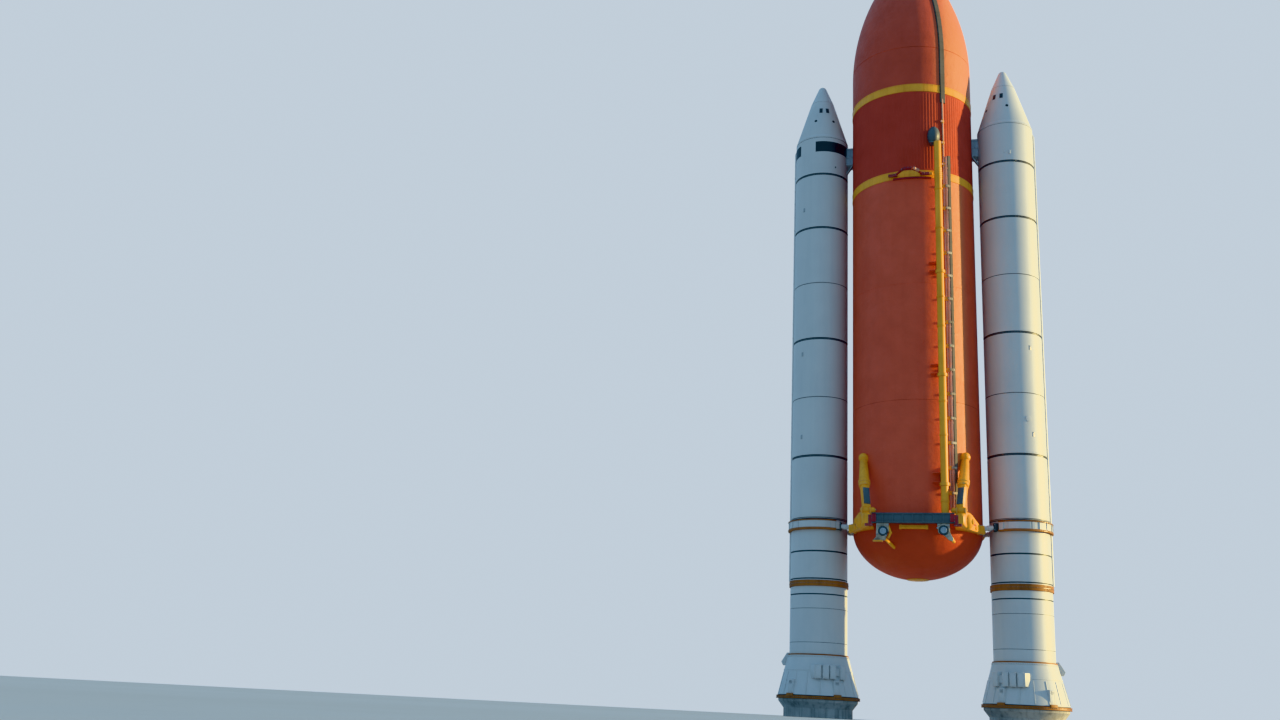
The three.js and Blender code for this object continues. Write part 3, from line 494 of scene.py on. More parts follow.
def foam_marks_and_painted_light(g, name, result, paint, stain):
    """Faint lines between the sprayed belts, soft bright patches and, on the tank's wall, painted sunlight."""
    lines = g.effect("seam rings", Start=DOME_TOP * SCALE, Pitch=BELT_PITCH, Width=BELT_LINE)["Mask"]
    result = g.mix(g.times(lines, BELT_SHARE), result, stain)
    place = g.place()
    patches = g.spread(g.noise(place, PATCH_SCALE), *PATCH_RANGE)
    bright = colour([min(1.0, c * PATCH_GAIN + PATCH_LIFT) for c in paint[:3]])
    result = g.mix(g.times(patches, PATCH_SHARE), result, bright)
    if name not in ("tank_foam_painted_sun", "ogive_foam_painted_light"):
        return result
    # Painted sunlight: the foam turns paler and yellower toward +X, where the key light falls; on the tank it stops
    # where the right booster's shadow falls
    toward_sun = g.add("ShaderNodeSeparateXYZ", {"Vector": place}).outputs["X"]
    sun_strip = g.spread(toward_sun, *SUN_PAINT_IN)
    if name == "tank_foam_painted_sun":
        sun_strip = g.times(sun_strip, g.spread(toward_sun, *SUN_PAINT_OUT))
    red, green, blue = bpy.context.scene.rocket_colours.foam
    return g.mix(g.times(sun_strip, SUN_PAINT_SHARE), result, (red, green * SUN_PAINT_GREEN, blue * SUN_PAINT_BLUE, 1.0))


def new_material(name):
    """A material of that name, with its graph and its shader."""
    material = bpy.data.materials.new(name)
    material.use_nodes = True
    g = Graph(material.node_tree)
    return material, g, g.tree.nodes["Principled BSDF"]


def finish(name):
    """The finish of that name: its paint weathered, its bevels worn and its grain as a bump."""
    if name in bpy.data.materials:
        return bpy.data.materials[name]
    paint, stain, patches, streaks, specks, size, roughness, wear = FINISHES[name]
    paint, stain = colour(getattr(bpy.context.scene.rocket_colours, paint)), colour(stain)
    material, g, shader = new_material(name)
    material.diffuse_color = paint
    base = g.effect("weathering", Paint=paint, Stain=stain, Patches=patches, Streaks=streaks, Specks=specks,
                    Size=size, Roughness=roughness)
    result = base["Color"]
    if "foam" in name:
        result = foam_marks_and_painted_light(g, name, result, paint, stain)
    if wear:
        bare = colour(WORN_CONCRETE if name == "cast_concrete" else WORN_METAL)
        result = g.effect("edge wear", Color=result, Bare=bare, Amount=wear)["Color"]
    scale, lumps, strength, distance = GRAINS.get(name, FOAM_GRAIN if "foam" in name else PLAIN_GRAIN)
    height = g.effect("grain", Scale=scale, Lumps=lumps)["Height"]
    bump = g.add("ShaderNodeBump", {"Height": height, "Strength": strength, "Distance": distance})
    for socket, value in (("Base Color", result), ("Roughness", base["Roughness"]),
                          ("Normal", bump.outputs["Normal"]), ("Metallic", float(name == "bare_steel"))):
        g.give(shader.inputs[socket], value)
    return material


def placed(name, data):
    """A new object of that name and data, linked to the scene."""
    made = bpy.data.objects.new(name, data)
    bpy.context.scene.collection.objects.link(made)
    return made


def piece(name, shapes, finishes, slot, *nodes):
    """Writes shapes into one mesh at the origin, and sets what it rides on, stands for and is finished with.

    The node that it stands for has the piece's own name unless another one is given.
    """
    nodes = nodes or (name,)
    starts = np.cumsum([0] + [len(points) for points, _ in shapes])
    groups = [(faces + start, paint, wear) for (_, own), start in zip(shapes, starts) for faces, paint, wear in own]
    totals = np.concatenate([np.full(len(faces), faces.shape[1]) for faces, _, _ in groups])
    used, corners = np.unique(np.concatenate([faces.ravel() for faces, _, _ in groups]), return_inverse=True)
    places = np.concatenate([points for points, _ in shapes])[used] * SCALE + (0, AXIS_Y, 0)
    mesh = bpy.data.meshes.new(name)
    mesh.vertices.add(len(places))
    mesh.vertices.foreach_set("co", places.astype(np.float32).ravel())
    mesh.loops.add(len(corners))
    mesh.loops.foreach_set("vertex_index", corners.astype(np.int32).ravel())
    mesh.polygons.add(len(totals))
    mesh.polygons.foreach_set("loop_start", (np.cumsum(totals) - totals).astype(np.int32))
    paints = np.concatenate([paint for _, paint, _ in groups])
    mesh.polygons.foreach_set("material_index", paints.astype(np.int32))
    mesh.polygons.foreach_set("use_smooth", np.ones(len(totals), bool))
    worn = mesh.attributes.new("edge_wear", "FLOAT", "FACE")
    worn.data.foreach_set("value", np.concatenate([wear for _, _, wear in groups]).astype(np.float32))
    mesh.update(calc_edges=True)
    mesh.validate()
    mesh.set_sharp_from_angle(angle=SHARP_ANGLE)
    for one in finishes:
        mesh.materials.append(finish(one))
    made = placed(name, mesh)
    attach(made, "root")
    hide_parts(*nodes)
    return made


# Pieces of the tank

def ogive_radius(height):
    """An arc that leaves the barrel without a corner: the root of arc squared less rise squared, less the shift."""
    rise = np.maximum(0, np.asarray(height, float) - OGIVE_START)
    return np.sqrt(OGIVE_ARC ** 2 - rise ** 2) - OGIVE_SHIFT


def closed_profile(radius, heights, edge, seams=(1, 1)):
    """A profile up the outside with a small groove at both ends, closed on the axis, and its rows' finishes."""
    first, last = radius[0], radius[-1]
    rows = [(0, heights[0]), (first - edge, heights[0]), (first, heights[0] + edge),
            *zip(radius[1:-1], heights[1:-1]),
            (last, heights[-1] - edge), (last - edge, heights[-1]), (0, heights[-1])]
    return rows, [seams[0]] * 2 + [0] * (len(rows) - 5) + [seams[1]] * 2


def foam_piece(name, radius, heights, edge, foam="tank_foam_painted_sun", seams=(1, 1)):
    """A body of the tank turned from its wall, with the seam's finish in the grooves."""
    rows, paints = closed_profile(radius, heights, edge, seams)
    body = turned(rows, columns=TANK_COLUMNS, paint=paints)
    piece(name, [body], (foam, "seam_foam"), "tank_paint", "tank_" + name)


def tank_pieces(sizes):
    """The ogive's arc, straight barrels, a dome whose wall is a quarter ellipse, and its cap."""
    radius = sizes.tank_radius / SCALE
    heights = np.linspace(OGIVE_SEAM, OGIVE_TOP, 72)
    # The ogive and the upper barrel take the darker foam, which is painted shade, and the painted sunlight without its
    # end
    foam_piece("ogive", ogive_radius(heights), heights, 0.02, "ogive_foam_painted_light")
    heights = np.array([UPPER_BARREL_LOW, 43.6, OGIVE_START, 45.0, 45.17, OGIVE_SEAM])
    foam_piece("upper_barrel", ogive_radius(heights), heights, 0.02, "ogive_foam_painted_light")
    for number, seams in enumerate(((1, 1), (1, 0), (0, 1))):
        heights = np.linspace(*BARREL_SEAMS[number:number + 2], 9)
        foam_piece(f"lower_barrel_{number + 1}", np.full(9, radius), heights, 0.011, seams=seams)
    turn = np.linspace(math.asin(DOME_CAP_RADIUS / radius), math.pi / 2, 48)
    depth = (DOME_TOP - DOME_BOTTOM) / math.cos(turn[0])
    # The dome takes the darker dome foam: partly its own tone, partly painted shade
    foam_piece("aft_dome", radius * np.sin(turn), DOME_TOP - depth * np.cos(turn), 0.012, "dome_foam_and_painted_shade")
    rows = [(0, 8.84), (0.56, 8.84), (0.58, 8.85), (0.6, 8.862), (0.68, 8.862), (DOME_CAP_RADIUS, 8.88),
            (DOME_CAP_RADIUS, DOME_BOTTOM), (0, DOME_BOTTOM)]
    shapes = [turned(rows, columns=96, wear=[0, 1, 1, 0, 1, 0, 0]),
              studs(polar(np.arange(20) * 18.0, 0.645, 8.862), DOWN, 0.022, 0.014, paint=1)]
    piece("dome_cap", shapes, ("golden_paint", "bare_steel"), "yellow_paint", "tank_dome_cap")


def band_pieces(sizes):
    """Each golden band: a lip at both edges of a lower face, and a row of bolts along each lip."""
    radius = sizes.tank_radius / SCALE + 0.03
    face = radius - 0.012
    for name, low, high in (("lower_band", BARREL_SEAMS[3], INTERTANK[0]),
                            ("upper_band", INTERTANK[1], UPPER_BARREL_LOW)):
        rows = [(0, low), (face, low), (radius, low + 0.012), (radius, low + 0.05), (face, low + 0.06),
                (face, high - 0.06), (radius, high - 0.05), (radius, high - 0.012), (face, high), (0, high)]
        shapes = [turned(rows, columns=TANK_COLUMNS, wear=EVERY_OTHER)]
        shapes += [stud_ring(180, face, level, 0.016) for level in (low + 0.1, high - 0.1)]
        if name == "lower_band":
            ledge = [(radius - 0.02, low - 0.06), (radius + 0.05, low - 0.06), (radius + 0.055, low + 0.06),
                     (radius - 0.02, low + 0.08)]
            shapes.append(bowed(ledge, (-14.5, 20.5), paint=1))
        piece(name, shapes, ("golden_paint", "maroon_enamel"), "yellow_paint", "tank_" + name)


def intertank_pieces(sizes):
    """A drum whose radius follows the stringers, with a door on its far side."""
    radius, count, depth = sizes.tank_radius / SCALE, sizes.stringer_count, sizes.stringer_depth / SCALE
    low, high = INTERTANK
    squareness, panel_half, panel_blend, plain_end, end_blend = 2.6, 11, 1.5, 0.10, 0.08

    def stringers(azimuth, height):
        """Hat sections: a softened square wave of the azimuth, flat over the two thrust panels and at both ends."""
        wave = np.tanh(squareness * np.cos(np.radians(azimuth * count))) * 0.5 - 0.5
        side = np.abs(np.abs((azimuth + 180) % 360 - 180) - 90)
        panel = np.clip((side - panel_half) / panel_blend, 0, 1)
        end = np.clip((np.minimum(height - low, high - height) - plain_end) / end_blend, 0, 1)
        return depth * wave * panel * end

    heights = np.concatenate([[low], np.linspace(low + 0.1, low + 0.18, 3), np.linspace(low + 0.8, high - 0.8, 6),
                              np.linspace(high - 0.18, high - 0.1, 3), [high]])
    rows, paints = closed_profile(np.full(len(heights), radius), heights, 0.012)
    door = softened([(-0.55, -0.7), (0.55, -0.7), (0.55, 0.7), (-0.55, 0.7)], 0.16)
    shapes = [turned(rows, columns=count * 8, paint=paints, ripple=stringers),
              plate(door, polar(205, radius - 0.01, 38.0), 0.05, facing(205), 0.012)]
    piece("intertank", shapes, ("stringer_foam", "seam_foam"), "intertank_paint", "tank_intertank")


def nose_pieces(sizes):
    """A stepped cone and its spike in one profile, with a row of bolts round the rim."""
    rows = [(0, OGIVE_TOP), (0.83, OGIVE_TOP), (0.85, 54.445), (0.85, 54.5), (0.80, 54.53), (0.56, 54.90),
            (0.565, 54.92), (0.565, 54.97), (0.54, 54.99), (0.19, 55.42), (0.16, 55.46), (0.12, 55.5), (0.08, 55.56),
            (0.08, 56.04), (0.065, 56.075), (0.03, 56.088), (0, 56.09)]
    shapes = [turned(rows, columns=96, paint=[0] * 11 + [1] * 5), stud_ring(40, 0.845, 54.473, 0.016, paint=1)]
    piece("nose_cone", shapes, ("tray_grey", "bare_steel"), "grey_paint", "tank_nose_cone")


# Pieces down the front of the tank

def feed_pieces(sizes):
    """The feed line with its collars, bellows and elbow, the fairing over its top, and its three brackets."""
    x, y, radius, low, top = 1.93, -4.45, 0.235, 11.32, 37.74
    brackets = (28.88, 21.87, 14.81)
    collar = ((0, radius), (0, 0.27), (0.05, 0.27), (0.05, 0.258), (0.06, 0.258), (0.06, 0.27), (0.11, 0.27),
              (0.11, radius))
    steps = np.linspace(0, 1, 36)
    bellows = np.column_stack([23.6 + steps * 0.9, radius + 0.012 * (1 - np.cos(steps * 12 * np.pi))])
    pipe = [(0, 0), (0, radius - 0.01), (0.01, radius)]
    for level in (13.2, 17.4, 19.6, 24.6, 26.6, 31.4, 34.2):
        pipe += [(level - low + along, out) for along, out in collar]
    pipe += [*bellows, (top - low - 0.01, radius), (top - low, 0)]
    foot = (x, y, low)
    shapes = [spun(foot, (x, y, top), pipe, 40), ball(foot, (radius,) * 3),
              rod(foot, (x, -4.69, low), radius, 40, 0.012)]
    clamp = [(0, 0.2), (0, 0.285), (0.015, 0.3), (0.2, 0.3), (0.215, 0.285), (0.215, 0.2)]
    for height in brackets:
        shapes += [spun((x, y, height - 0.6), (x, y, height - 0.3), clamp, 40, wear=[1, 1, 0, 1, 1]),
                   block((x + 0.31, y, height - 0.492), (0.09, 0.07, 0.2), bevel=0.012)]
    piece("feed_line", shapes, ("golden_paint",), "yellow_paint")

    turn = np.radians(np.arange(24) * 15.0)
    ways = np.column_stack([np.sin(turn), np.full(24, -0.2), np.cos(turn)])
    rim = np.array([1.68, -4.17, 38.34]) + ways * (0.412, 0, 0.675)
    shapes = [ball((1.68, -4.1, 38.34), (0.42, 0.55, 0.68), 64, 33),
              block((1.7, -4.14, 37.8), (0.58, 0.6, 0.12), bevel=0.04),
              studs(rim, ways / np.linalg.norm(ways, axis=1, keepdims=True), 0.018, 0.01, paint=1)]
    piece("feed_fairing", shapes, ("navy_enamel", "bare_steel"), "navy_paint")

    for number, height in enumerate(brackets, 1):
        shapes = [block((1.74, -3.85, height - 0.33), (0.48, 0.5, 0.14), bevel=0.03, paint=1),
                  block((1.78, -4.24, height - 0.46), (0.24, 0.4, 0.2), bevel=0.04, paint=1),
                  block((1.6, -3.94, height - 0.29), (0.78, 0.7, 0.045), bevel=0.015, paint=1),
                  block((1.6, -3.94, height + 0.29), (0.78, 0.7, 0.045), bevel=0.015, paint=1),
                  rod((1.66, -3.95, height + 0.29), (1.66, -3.95, height - 0.29), 0.035, 16, 0.01),
                  studs([(1.4 + 0.16 * i, -3.94, height + 0.312) for i in range(3)], UP, 0.026, 0.02, paint=2)]
        piece(f"feed_bracket_{number}", shapes, ("maroon_enamel", "tank_foam_painted_sun", "bare_steel"), "maroon_paint")


# The conduit's azimuth and distance from the tank's axis, the clips' own azimuth, and their pitch up the wall
CONDUIT, CLIP_AZIMUTH, CLIP_PITCH = (35.0, 4.26), 35.4, 1.61


def tray_pieces(sizes):
    """Two cable trays of a hat section on the tank's wall, and the conduit and the pressure line beside them."""
    for name, azimuth, low, high, rows, pitch, width, proud in (
            ("cable_tray_lower", 37.2, 12.95, 37.08, 8, 0.8, 0.30, 0.24),
            ("cable_tray_upper", 33.5, 41.12, 54.3, 60, 0.64, 0.42, 0.085)):
        along, up, out = facing(azimuth)
        edge, half = width / 2, width / 2 - 0.032
        section = twofold([(-edge, -0.05), (-edge, 0.022), (0.035 - edge, 0.026), (0.04 - edge, proud - 0.02),
                           (0.06 - edge, proud)])
        cover = twofold([(-half, 0.0), (-half, proud - 0.007), (0.018 - half, proud + 0.005)])

        def carried(outline, heights, paint=0):
            """The outline on the tank's wall at each height, square to the wall."""
            wall = ogive_radius(heights)
            slope = np.arctan2(np.maximum(0, heights - OGIVE_START), wall + OGIVE_SHIFT)[:, None]
            square = np.cos(slope) * out + np.sin(slope) * up
            return swept(outline, polar(azimuth, wall, heights), along, square, paint)

        covers = np.arange(low + 0.25, high - 0.15, pitch)
        shapes = [carried(section, np.linspace(low, high, rows)),
                  *(carried(cover, np.array([level, level + 0.07]), 1) for level in covers)]
        levels = np.arange(low + 0.1, high - 0.1, pitch / 2)
        wall = polar(azimuth, ogive_radius(levels) + 0.026, levels)
        sides = np.concatenate([wall + along * shift for shift in (-half - 0.014, half + 0.014)])
        shapes.append(studs(sides, out, 0.012, 0.012, paint=2))
        if name == "cable_tray_lower":
            couplings = [(level, level + 0.12, 0.112, 0.01) for level in np.arange(low + 0.6, high - 0.2, CLIP_PITCH)]
            shapes += [rod(polar(*CONDUIT, start), polar(*CONDUIT, end), radius, 24, bevel, paint=3)
                       for start, end, radius, bevel in [(low, high - 0.04, 0.1, 0.02), *couplings]]
        piece(name, shapes, ("tray_grey", "tray_grey", "bare_steel", "line_grey_and_highlight"), "grey_paint")

    azimuth, out, conduit_top = 32.9, 4.19, 36.0
    turn = facing(azimuth)
    shapes = [rod(polar(azimuth, out, 12.95), polar(azimuth, out, 41.4), 0.065, 20, 0.01, paint=1)]
    coupling = [(0, 0), (0, 0.07), (0.02, 0.085), (0.24, 0.085), (0.26, 0.07), (0.26, 0)]
    heights = 13.92 + CLIP_PITCH * np.arange(17)
    for height in heights:
        foot = polar(azimuth - 0.6, 4.18, height)
        shapes += [block(foot, (0.26, 0.16, 0.18), turn, 0.03, int(height >= conduit_top)),
                   spun(polar(azimuth, out, height - 0.13), polar(azimuth, out, height + 0.13), coupling, 24)]
    held, turn = heights[heights < conduit_top], facing(CLIP_AZIMUTH)
    shapes += [block(clip, (0.36, 0.18, 0.26), turn, 0.04, paint=3, steps=3)
               for clip in polar(CLIP_AZIMUTH, 4.28, held)]
    bolts = np.concatenate([polar(CLIP_AZIMUTH, 4.41, held) + turn[0] * shift for shift in (-0.12, 0.1)])
    shapes.append(studs(bolts, turn[2], 0.02, 0.014, paint=2))
    piece("pressure_line", shapes, ("golden_paint", "line_grey_and_highlight", "bare_steel", "plate_grey"), "yellow_paint")


def bipod_pieces(sizes):
    """A yoke between two legs, each leg a collared bar from a foot on the tank's wall."""
    height = 35.62
    bar = [(-0.36, -5.08, height - 0.02), (-0.3, -5.12, height), (0.3, -5.12, height), (0.36, -5.08, height - 0.02)]
    yoke = [spar(bar, [0.12, 0.2, 0.2, 0.12], [0.1, 0.15, 0.15, 0.1], UPRIGHT[[1, 2]], 0.04),
            rod((-0.34, -5.18, height), (0.34, -5.18, height), 0.05, 20, 0.012),
            *(rod((x - 0.04, -5.13, height), (x + 0.04, -5.13, height), 0.12, 24, 0.015) for x in (-0.22, 0.0, 0.22)),
            # Painted highlight: a pale rod over the right leg's upper half, where the key light catches the leg
            rod((0.36, -5.06, height + 0.02), (0.66, -4.66, height), 0.11, 24, 0.03, paint=1)]
    piece("bipod_yoke", yoke, ("maroon_enamel", "line_grey_and_highlight"), "maroon_paint")
    leg = [(0.0, 0), (0.0, 0.1), (0.2, 0.1), (0.22, 0.075), (0.86, 0.075), (0.88, 0.1), (0.98, 0.1), (1.0, 0.075),
           (1.06, 0.075), (1.06, 0)]
    for name, side in SIDES:
        foot, top = (side * 0.92, -4.16, height - 0.04), (side * 0.3, -5.08, height)
        legs = [spun(foot, top, leg, 28, wear=[0, 0, 1, 0, 1, 0, 1, 1, 0]),
                block((side * 1.06, -4.19, height - 0.05), (0.62, 0.2, 0.19), bevel=0.05, steps=3),
                block((side * 0.92, -4.3, height - 0.05), (0.26, 0.16, 0.13), bevel=0.03)]
        if side > 0:
            legs.append(block((1.45, -4.12, height - 0.05), (0.22, 0.22, 0.18), bevel=0.05, paint=1))
        places = [(side * (1.12 + 0.18 * (i % 2)), -4.288, height - 0.1 + 0.1 * (i // 2)) for i in range(4)]
        legs.append(studs(places, FRONT, 0.016, 0.01))
        piece(f"bipod_{name}_leg", legs, ("maroon_enamel", "golden_paint"), "maroon_paint")


# Aft attach frame

def frame_pieces(sizes):
    """A crossbeam of an open section with ribs and bolted flanges, a cross pipe, and the pieces at each side."""
    low, high, front, back = 11.8, 12.43, -5.15, -4.8
    depth, middle, flanges = (front + back) / 2, (low + high) / 2, (low + 0.045, high - 0.045)
    x = np.linspace(-2.4, 2.4, 49)
    bolts = [np.column_stack([x, np.full(49, front), np.full(49, level)]) for level in flanges]
    beam = [block((0, depth + 0.02, middle), (4.98, 0.29, 0.55)),
            *(block((0, depth, level), (5.0, 0.35, 0.09)) for level in flanges),
            *(block((at, -4.99, middle), (0.07, 0.3, 0.5), bevel=0.015) for at in np.linspace(-2.44, 2.44, 9)),
            *(studs(places, FRONT, 0.014, 0.01) for places in bolts),
            *(block((side * 2.36, -4.98, middle), (0.27, 0.34, 0.6), bevel=0.03, paint=1) for side in (-1, 1))]
    piece("aft_crossbeam", beam, ("navy_enamel", "maroon_enamel"), "navy_paint")
    pipe = [(0, 0), (0, 0.12), (0.02, 0.14), (0.16, 0.14), (0.18, 0.12), (1.58, 0.12), (1.6, 0.14), (1.74, 0.14),
            (1.76, 0.12), (1.76, 0)]
    cross = spun((-0.88, -4.22, 11.68), (0.88, -4.22, 11.68), pipe, 28, wear=EVERY_OTHER)
    piece("aft_cross_pipe", [cross], ("golden_paint",), "yellow_paint")
    for name, side in SIDES:
        fitting_piece(name, side)
        strut_piece(name, side)
        plate_piece(name)


# The arm of an aft fitting: x, y, width, low and high at each of its stations
ARM = ((2.84, -5.08, 0.36, 11.76, 12.3), (2.84, -5.02, 0.46, 11.7, 12.38), (2.9, -4.66, 0.56, 11.62, 12.54),
       (3.02, -4.3, 0.6, 11.58, 12.62), (3.17, -3.9, 0.56, 11.57, 12.64), (3.36, -3.4, 0.44, 11.58, 12.58),
       (3.58, -2.9, 0.34, 11.6, 12.4), (3.8, -2.4, 0.34, 11.62, 12.16), (3.98, -1.95, 0.5, 11.64, 11.98),
       (4.06, -1.4, 0.5, 11.68, 11.94))


def fitting_piece(name, side):
    """A foot at the crossbeam's end that thins into an arm round the tank's side to the booster's link."""
    x, y, width, low, high = np.array(ARM).T
    path = np.column_stack([side * x, y, (low + high) / 2])
    web = [(2.5, -4.4), (3.0, -4.0), (3.9, -2.0), (4.0, -1.35), (3.7, -1.3), (2.5, -3.3)]
    shapes = [spar(path, width, high - low, UPRIGHT[[0, 2]], 0.12),
              ball((side * 3.2, -4.2, 12.02), (0.42, 0.44, 0.5), 40, 25),
              plate(softened(np.array(web) * (side, 1), 0.08), (0, 0, 11.72), 0.12)]
    way = axes_along((0, 0, 0), (side * 0.94, -0.34, 0))[2]
    for at, across, out, level, radius in ((-4.2, 3.2, 0.47, 12.02, 0.18), (-2.9, 3.58, 0.24, 11.86, 0.16)):
        middle = np.array([side * across, at, level])
        disc = [(0, 0), (0, radius), (out - 0.04, radius), (out, radius - 0.04), (out, radius - 0.09),
                (out - 0.03, radius - 0.1), (out - 0.03, 0.07), (out + 0.02, 0.05), (out + 0.02, 0)]
        shapes.append(spun(middle, middle + way, disc, 32))
    boss = np.array([side * 4.0, -1.86, 11.8])
    shapes += [rod(boss - (0, 0, 0.2), boss + (0, 0, 0.34), 0.26, 28, 0.03),
               rod(boss - (0, 0, 0.24), boss + (0, 0, 0.39), 0.1, 20, 0.015, paint=2)]
    opening = softened([(-0.32, -0.2), (0.32, -0.2), (-0.2, 0.24)], 0.05)
    rim = softened([(-0.42, -0.27), (0.44, -0.27), (-0.22, 0.34)], 0.07)
    reach = np.array([side * 0.39, 0.92, 0])
    out = np.cross(reach, UP)
    ways = np.stack([reach, UP, -out if out[1] > 0 else out])
    shapes += [plate(opening, (side * 3.62, -3.28, 12.12), 0.06, ways, 0.012, paint=1),
               plate(rim, (side * 3.6, -3.28, 12.12), 0.06, ways),
               block((side * 2.6, -5.04, 11.98), (0.24, 0.16, 0.66), bevel=0.04, paint=1),
               block((side * 2.68, -4.98, 11.7), (0.5, 0.26, 0.16), bevel=0.04, paint=1)]
    shapes += [rod((side * 2.6, -5.1, level), (side * 2.6, -5.14, level), 0.075, 20, 0.01, paint=1)
               for level in (11.8, 12.14)]
    top = [(side * (2.88 + 0.2 * (i % 2)), -4.4 + 0.16 * (i // 2), 12.6) for i in range(4)]
    shapes.append(studs(top, UP, 0.035, 0.02, paint=2))
    piece(f"aft_{name}_fitting", shapes, ("golden_paint", "maroon_enamel", "bare_steel"), "yellow_paint")


def strut_piece(name, side):
    """A strut with a knee: a ball on the tank's side, a cone, a squared lower part with a cover panel and a clevis."""
    top, knee, foot = np.array([(3.2, -2.86, 16.3), (3.04, -3.98, 14.3), (2.84, -4.6, 12.3)]) * (side, 1, 1)
    upper, lower = float(np.linalg.norm(knee - top)), float(np.linalg.norm(foot - knee))
    cone = [(0.1, 0), (0.1, 0.22), (0.26, 0.225), (0.3, 0.24), (0.38, 0.24), (0.42, 0.255), (upper - 0.42, 0.335),
            (upper - 0.4, 0.375), (upper - 0.2, 0.385), (upper - 0.18, 0.35), (upper, 0.35), (upper + 0.06, 0.3),
            (upper + 0.06, 0)]
    inward = np.array([-top[0], -top[1], 0]) / math.hypot(top[0], top[1])
    seat = [(0, 0), (0, 0.26), (0.1, 0.3), (0.3, 0.3), (0.3, 0)]
    button = [(0, 0), (0, 0.13), (0.04, 0.13), (0.06, 0.1), (0.06, 0)]
    shapes = [spun(top, knee, cone, 40, wear=[0, 0, 1, 0, 0, 0, 1, 0, 1, 0, 1, 0]),
              ball(top + (0, -0.04, 0.04), (0.31, 0.31, 0.32), 40, 25), spun(top, top + inward, seat, 32),
              spun(top + (0, -0.3, 0.02), top + (0, -0.4, -0.02), button, 24)]
    axis = (foot - knee) / lower
    out = facing(-side * 26)[2]
    out = out - axis * (axis @ out)
    out /= np.linalg.norm(out)
    across = np.cross(axis, out)
    share = np.array([-0.02, 0.02, 0.06, 0.08, 0.66, 0.68, 0.74, 0.78])
    size = np.array([0.42, 0.5, 0.52, 0.48, 0.46, 0.52, 0.52, 0.4])
    turn = np.stack([across, axis, out])
    centre = knee + axis * (lower * 0.38) + out * 0.235
    edge = [centre + across * x + axis * y + out * 0.03 for x in (-0.18, 0.18) for y in np.linspace(-0.52, 0.52, 7)]
    joint = knee + axis * (lower * 0.82)
    pin = joint + (0, -0.06, 0.02)
    shapes += [spar(knee + axis * (share * lower)[:, None], size, size, turn[[0, 2]], 0.1),
               block(centre, (0.42, 1.14, 0.06), turn, paint=1),
               block(centre + out * 0.02, (0.3, 1.02, 0.06), turn, 0.015, paint=1),
               studs(edge, out, 0.014, 0.012, paint=2),
               ball(joint, (0.3, 0.3, 0.28), 36, 21),
               *(block(joint + (x, -0.02, -0.1), (0.12, 0.5, 0.56), bevel=0.05, steps=3) for x in (-0.26, 0.26)),
               rod(pin + (side * 0.38, 0, 0), pin - (side * 0.5, 0, 0), 0.13),
               ball(pin - (side * 0.4, 0, 0.02), (0.2, 0.2, 0.19)),
               rod(pin - (side * 0.5, 0, 0), pin - (side * 0.62, 0, 0), 0.075, 20, 0.012, paint=2),
               rod(joint + (0, 0, -0.1), joint + (0, 0, -0.5), (0.24, 0.3), 28)]
    piece(f"aft_{name}_thrust_strut", shapes, ("golden_paint", "navy_enamel", "bare_steel"), "yellow_paint")


# Each umbilical plate: the connector's middle, the wall's outline round it, the leg's ends and a box's height
PLATES = {
    "left": ((-1.81, 11.29), [(-0.42, 11.8), (0.34, 11.8), (0.36, 11.35), (0.2, 10.98), (0.14, 10.74), (-0.6, 10.7),
                              (-0.58, 10.8), (-0.44, 10.92)], ((-1.7, -4.88, 10.84), (-1.24, -3.3, 10.5)), 11.1),
    "right": ((1.84, 11.37), [(-0.4, 11.8), (0.36, 11.8), (0.36, 11.25), (0.58, 10.84), (0.5, 10.72), (0.28, 10.8),
                              (0.0, 11.08), (-0.34, 11.24)], ((2.3, -4.88, 10.86), (2.42, -4.5, 10.74)), 11.5),
}
BEAM_UNDERSIDE = 11.798


def plate_piece(name):
    """An umbilical plate: a shaped wall under the crossbeam, a round connector face, small boxes and a leg."""
    (x, level), outline, (start, end), box = PLATES[name]
    outline = [(x + across, min(height, BEAM_UNDERSIDE)) for across, height in outline]
    inner = [(x + (across - x) * 0.78, level + 0.02 + (height - level) * 0.8) for across, height in outline]
    turn = facing(0)
    disc = [(0, 0), (0, 0.29), (0.02, 0.3), (0.1, 0.3), (0.12, 0.27), (0.12, 0)]
    face = [(0, 0), (0, 0.2), (0.05, 0.2), (0.07, 0.185), (0.07, 0.14), (0.05, 0.125), (0.05, 0.06), (0.07, 0.04),
            (0.07, 0)]
    around = np.radians(np.arange(12) * 30.0)
    places = np.column_stack([x + 0.25 * np.cos(around), np.full(12, -5.12), level + 0.25 * np.sin(around)])
    shapes = [plate(softened(outline, 0.04), (0, -4.89, 0), 0.36, turn, 0.025),
              plate(softened(inner, 0.03), (0, -5.05, 0), 0.06, turn, 0.02),
              spun((x, -5.0, level), (x, -5.15, level), disc, 40, paint=1),
              spun((x, -5.08, level), (x, -5.15, level), face, 40, paint=4),
              studs(places, FRONT, 0.018, 0.014, paint=3),
              *(block((x + across, -5.07, height), (0.14, 0.1, 0.1), paint=3)
                for across, height in ((0.26, 11.66), (-0.3, 11.7), (-0.36, box), (0.16, 11.02))),
              rod(start, end, 0.1, 20, paint=2), ball(start, (0.13,) * 3, 24, 13, paint=2)]
    if name == "left":
        points = ((x + 0.3, -4.96, 11.66), (x + 0.46, -5.0, 11.2), (x + 0.3, -4.96, 10.86))
        shapes += [*(rod(one, two, 0.07, 16, 0.012, paint=2) for one, two in zip(points, points[1:])),
                   ball(points[1], (0.085,) * 3, 20, 11, paint=2),
                   block((x - 0.34, -4.94, 10.7), (0.6, 0.34, 0.08), paint=2)]
    finishes = ("plate_grey", "joint_slate", "golden_paint", "bare_steel", "pale_blue_enamel")
    piece(f"aft_{name}_umbilical_plate", shapes, finishes, "pale_blue_paint")


# Pieces of a booster, round its own axis

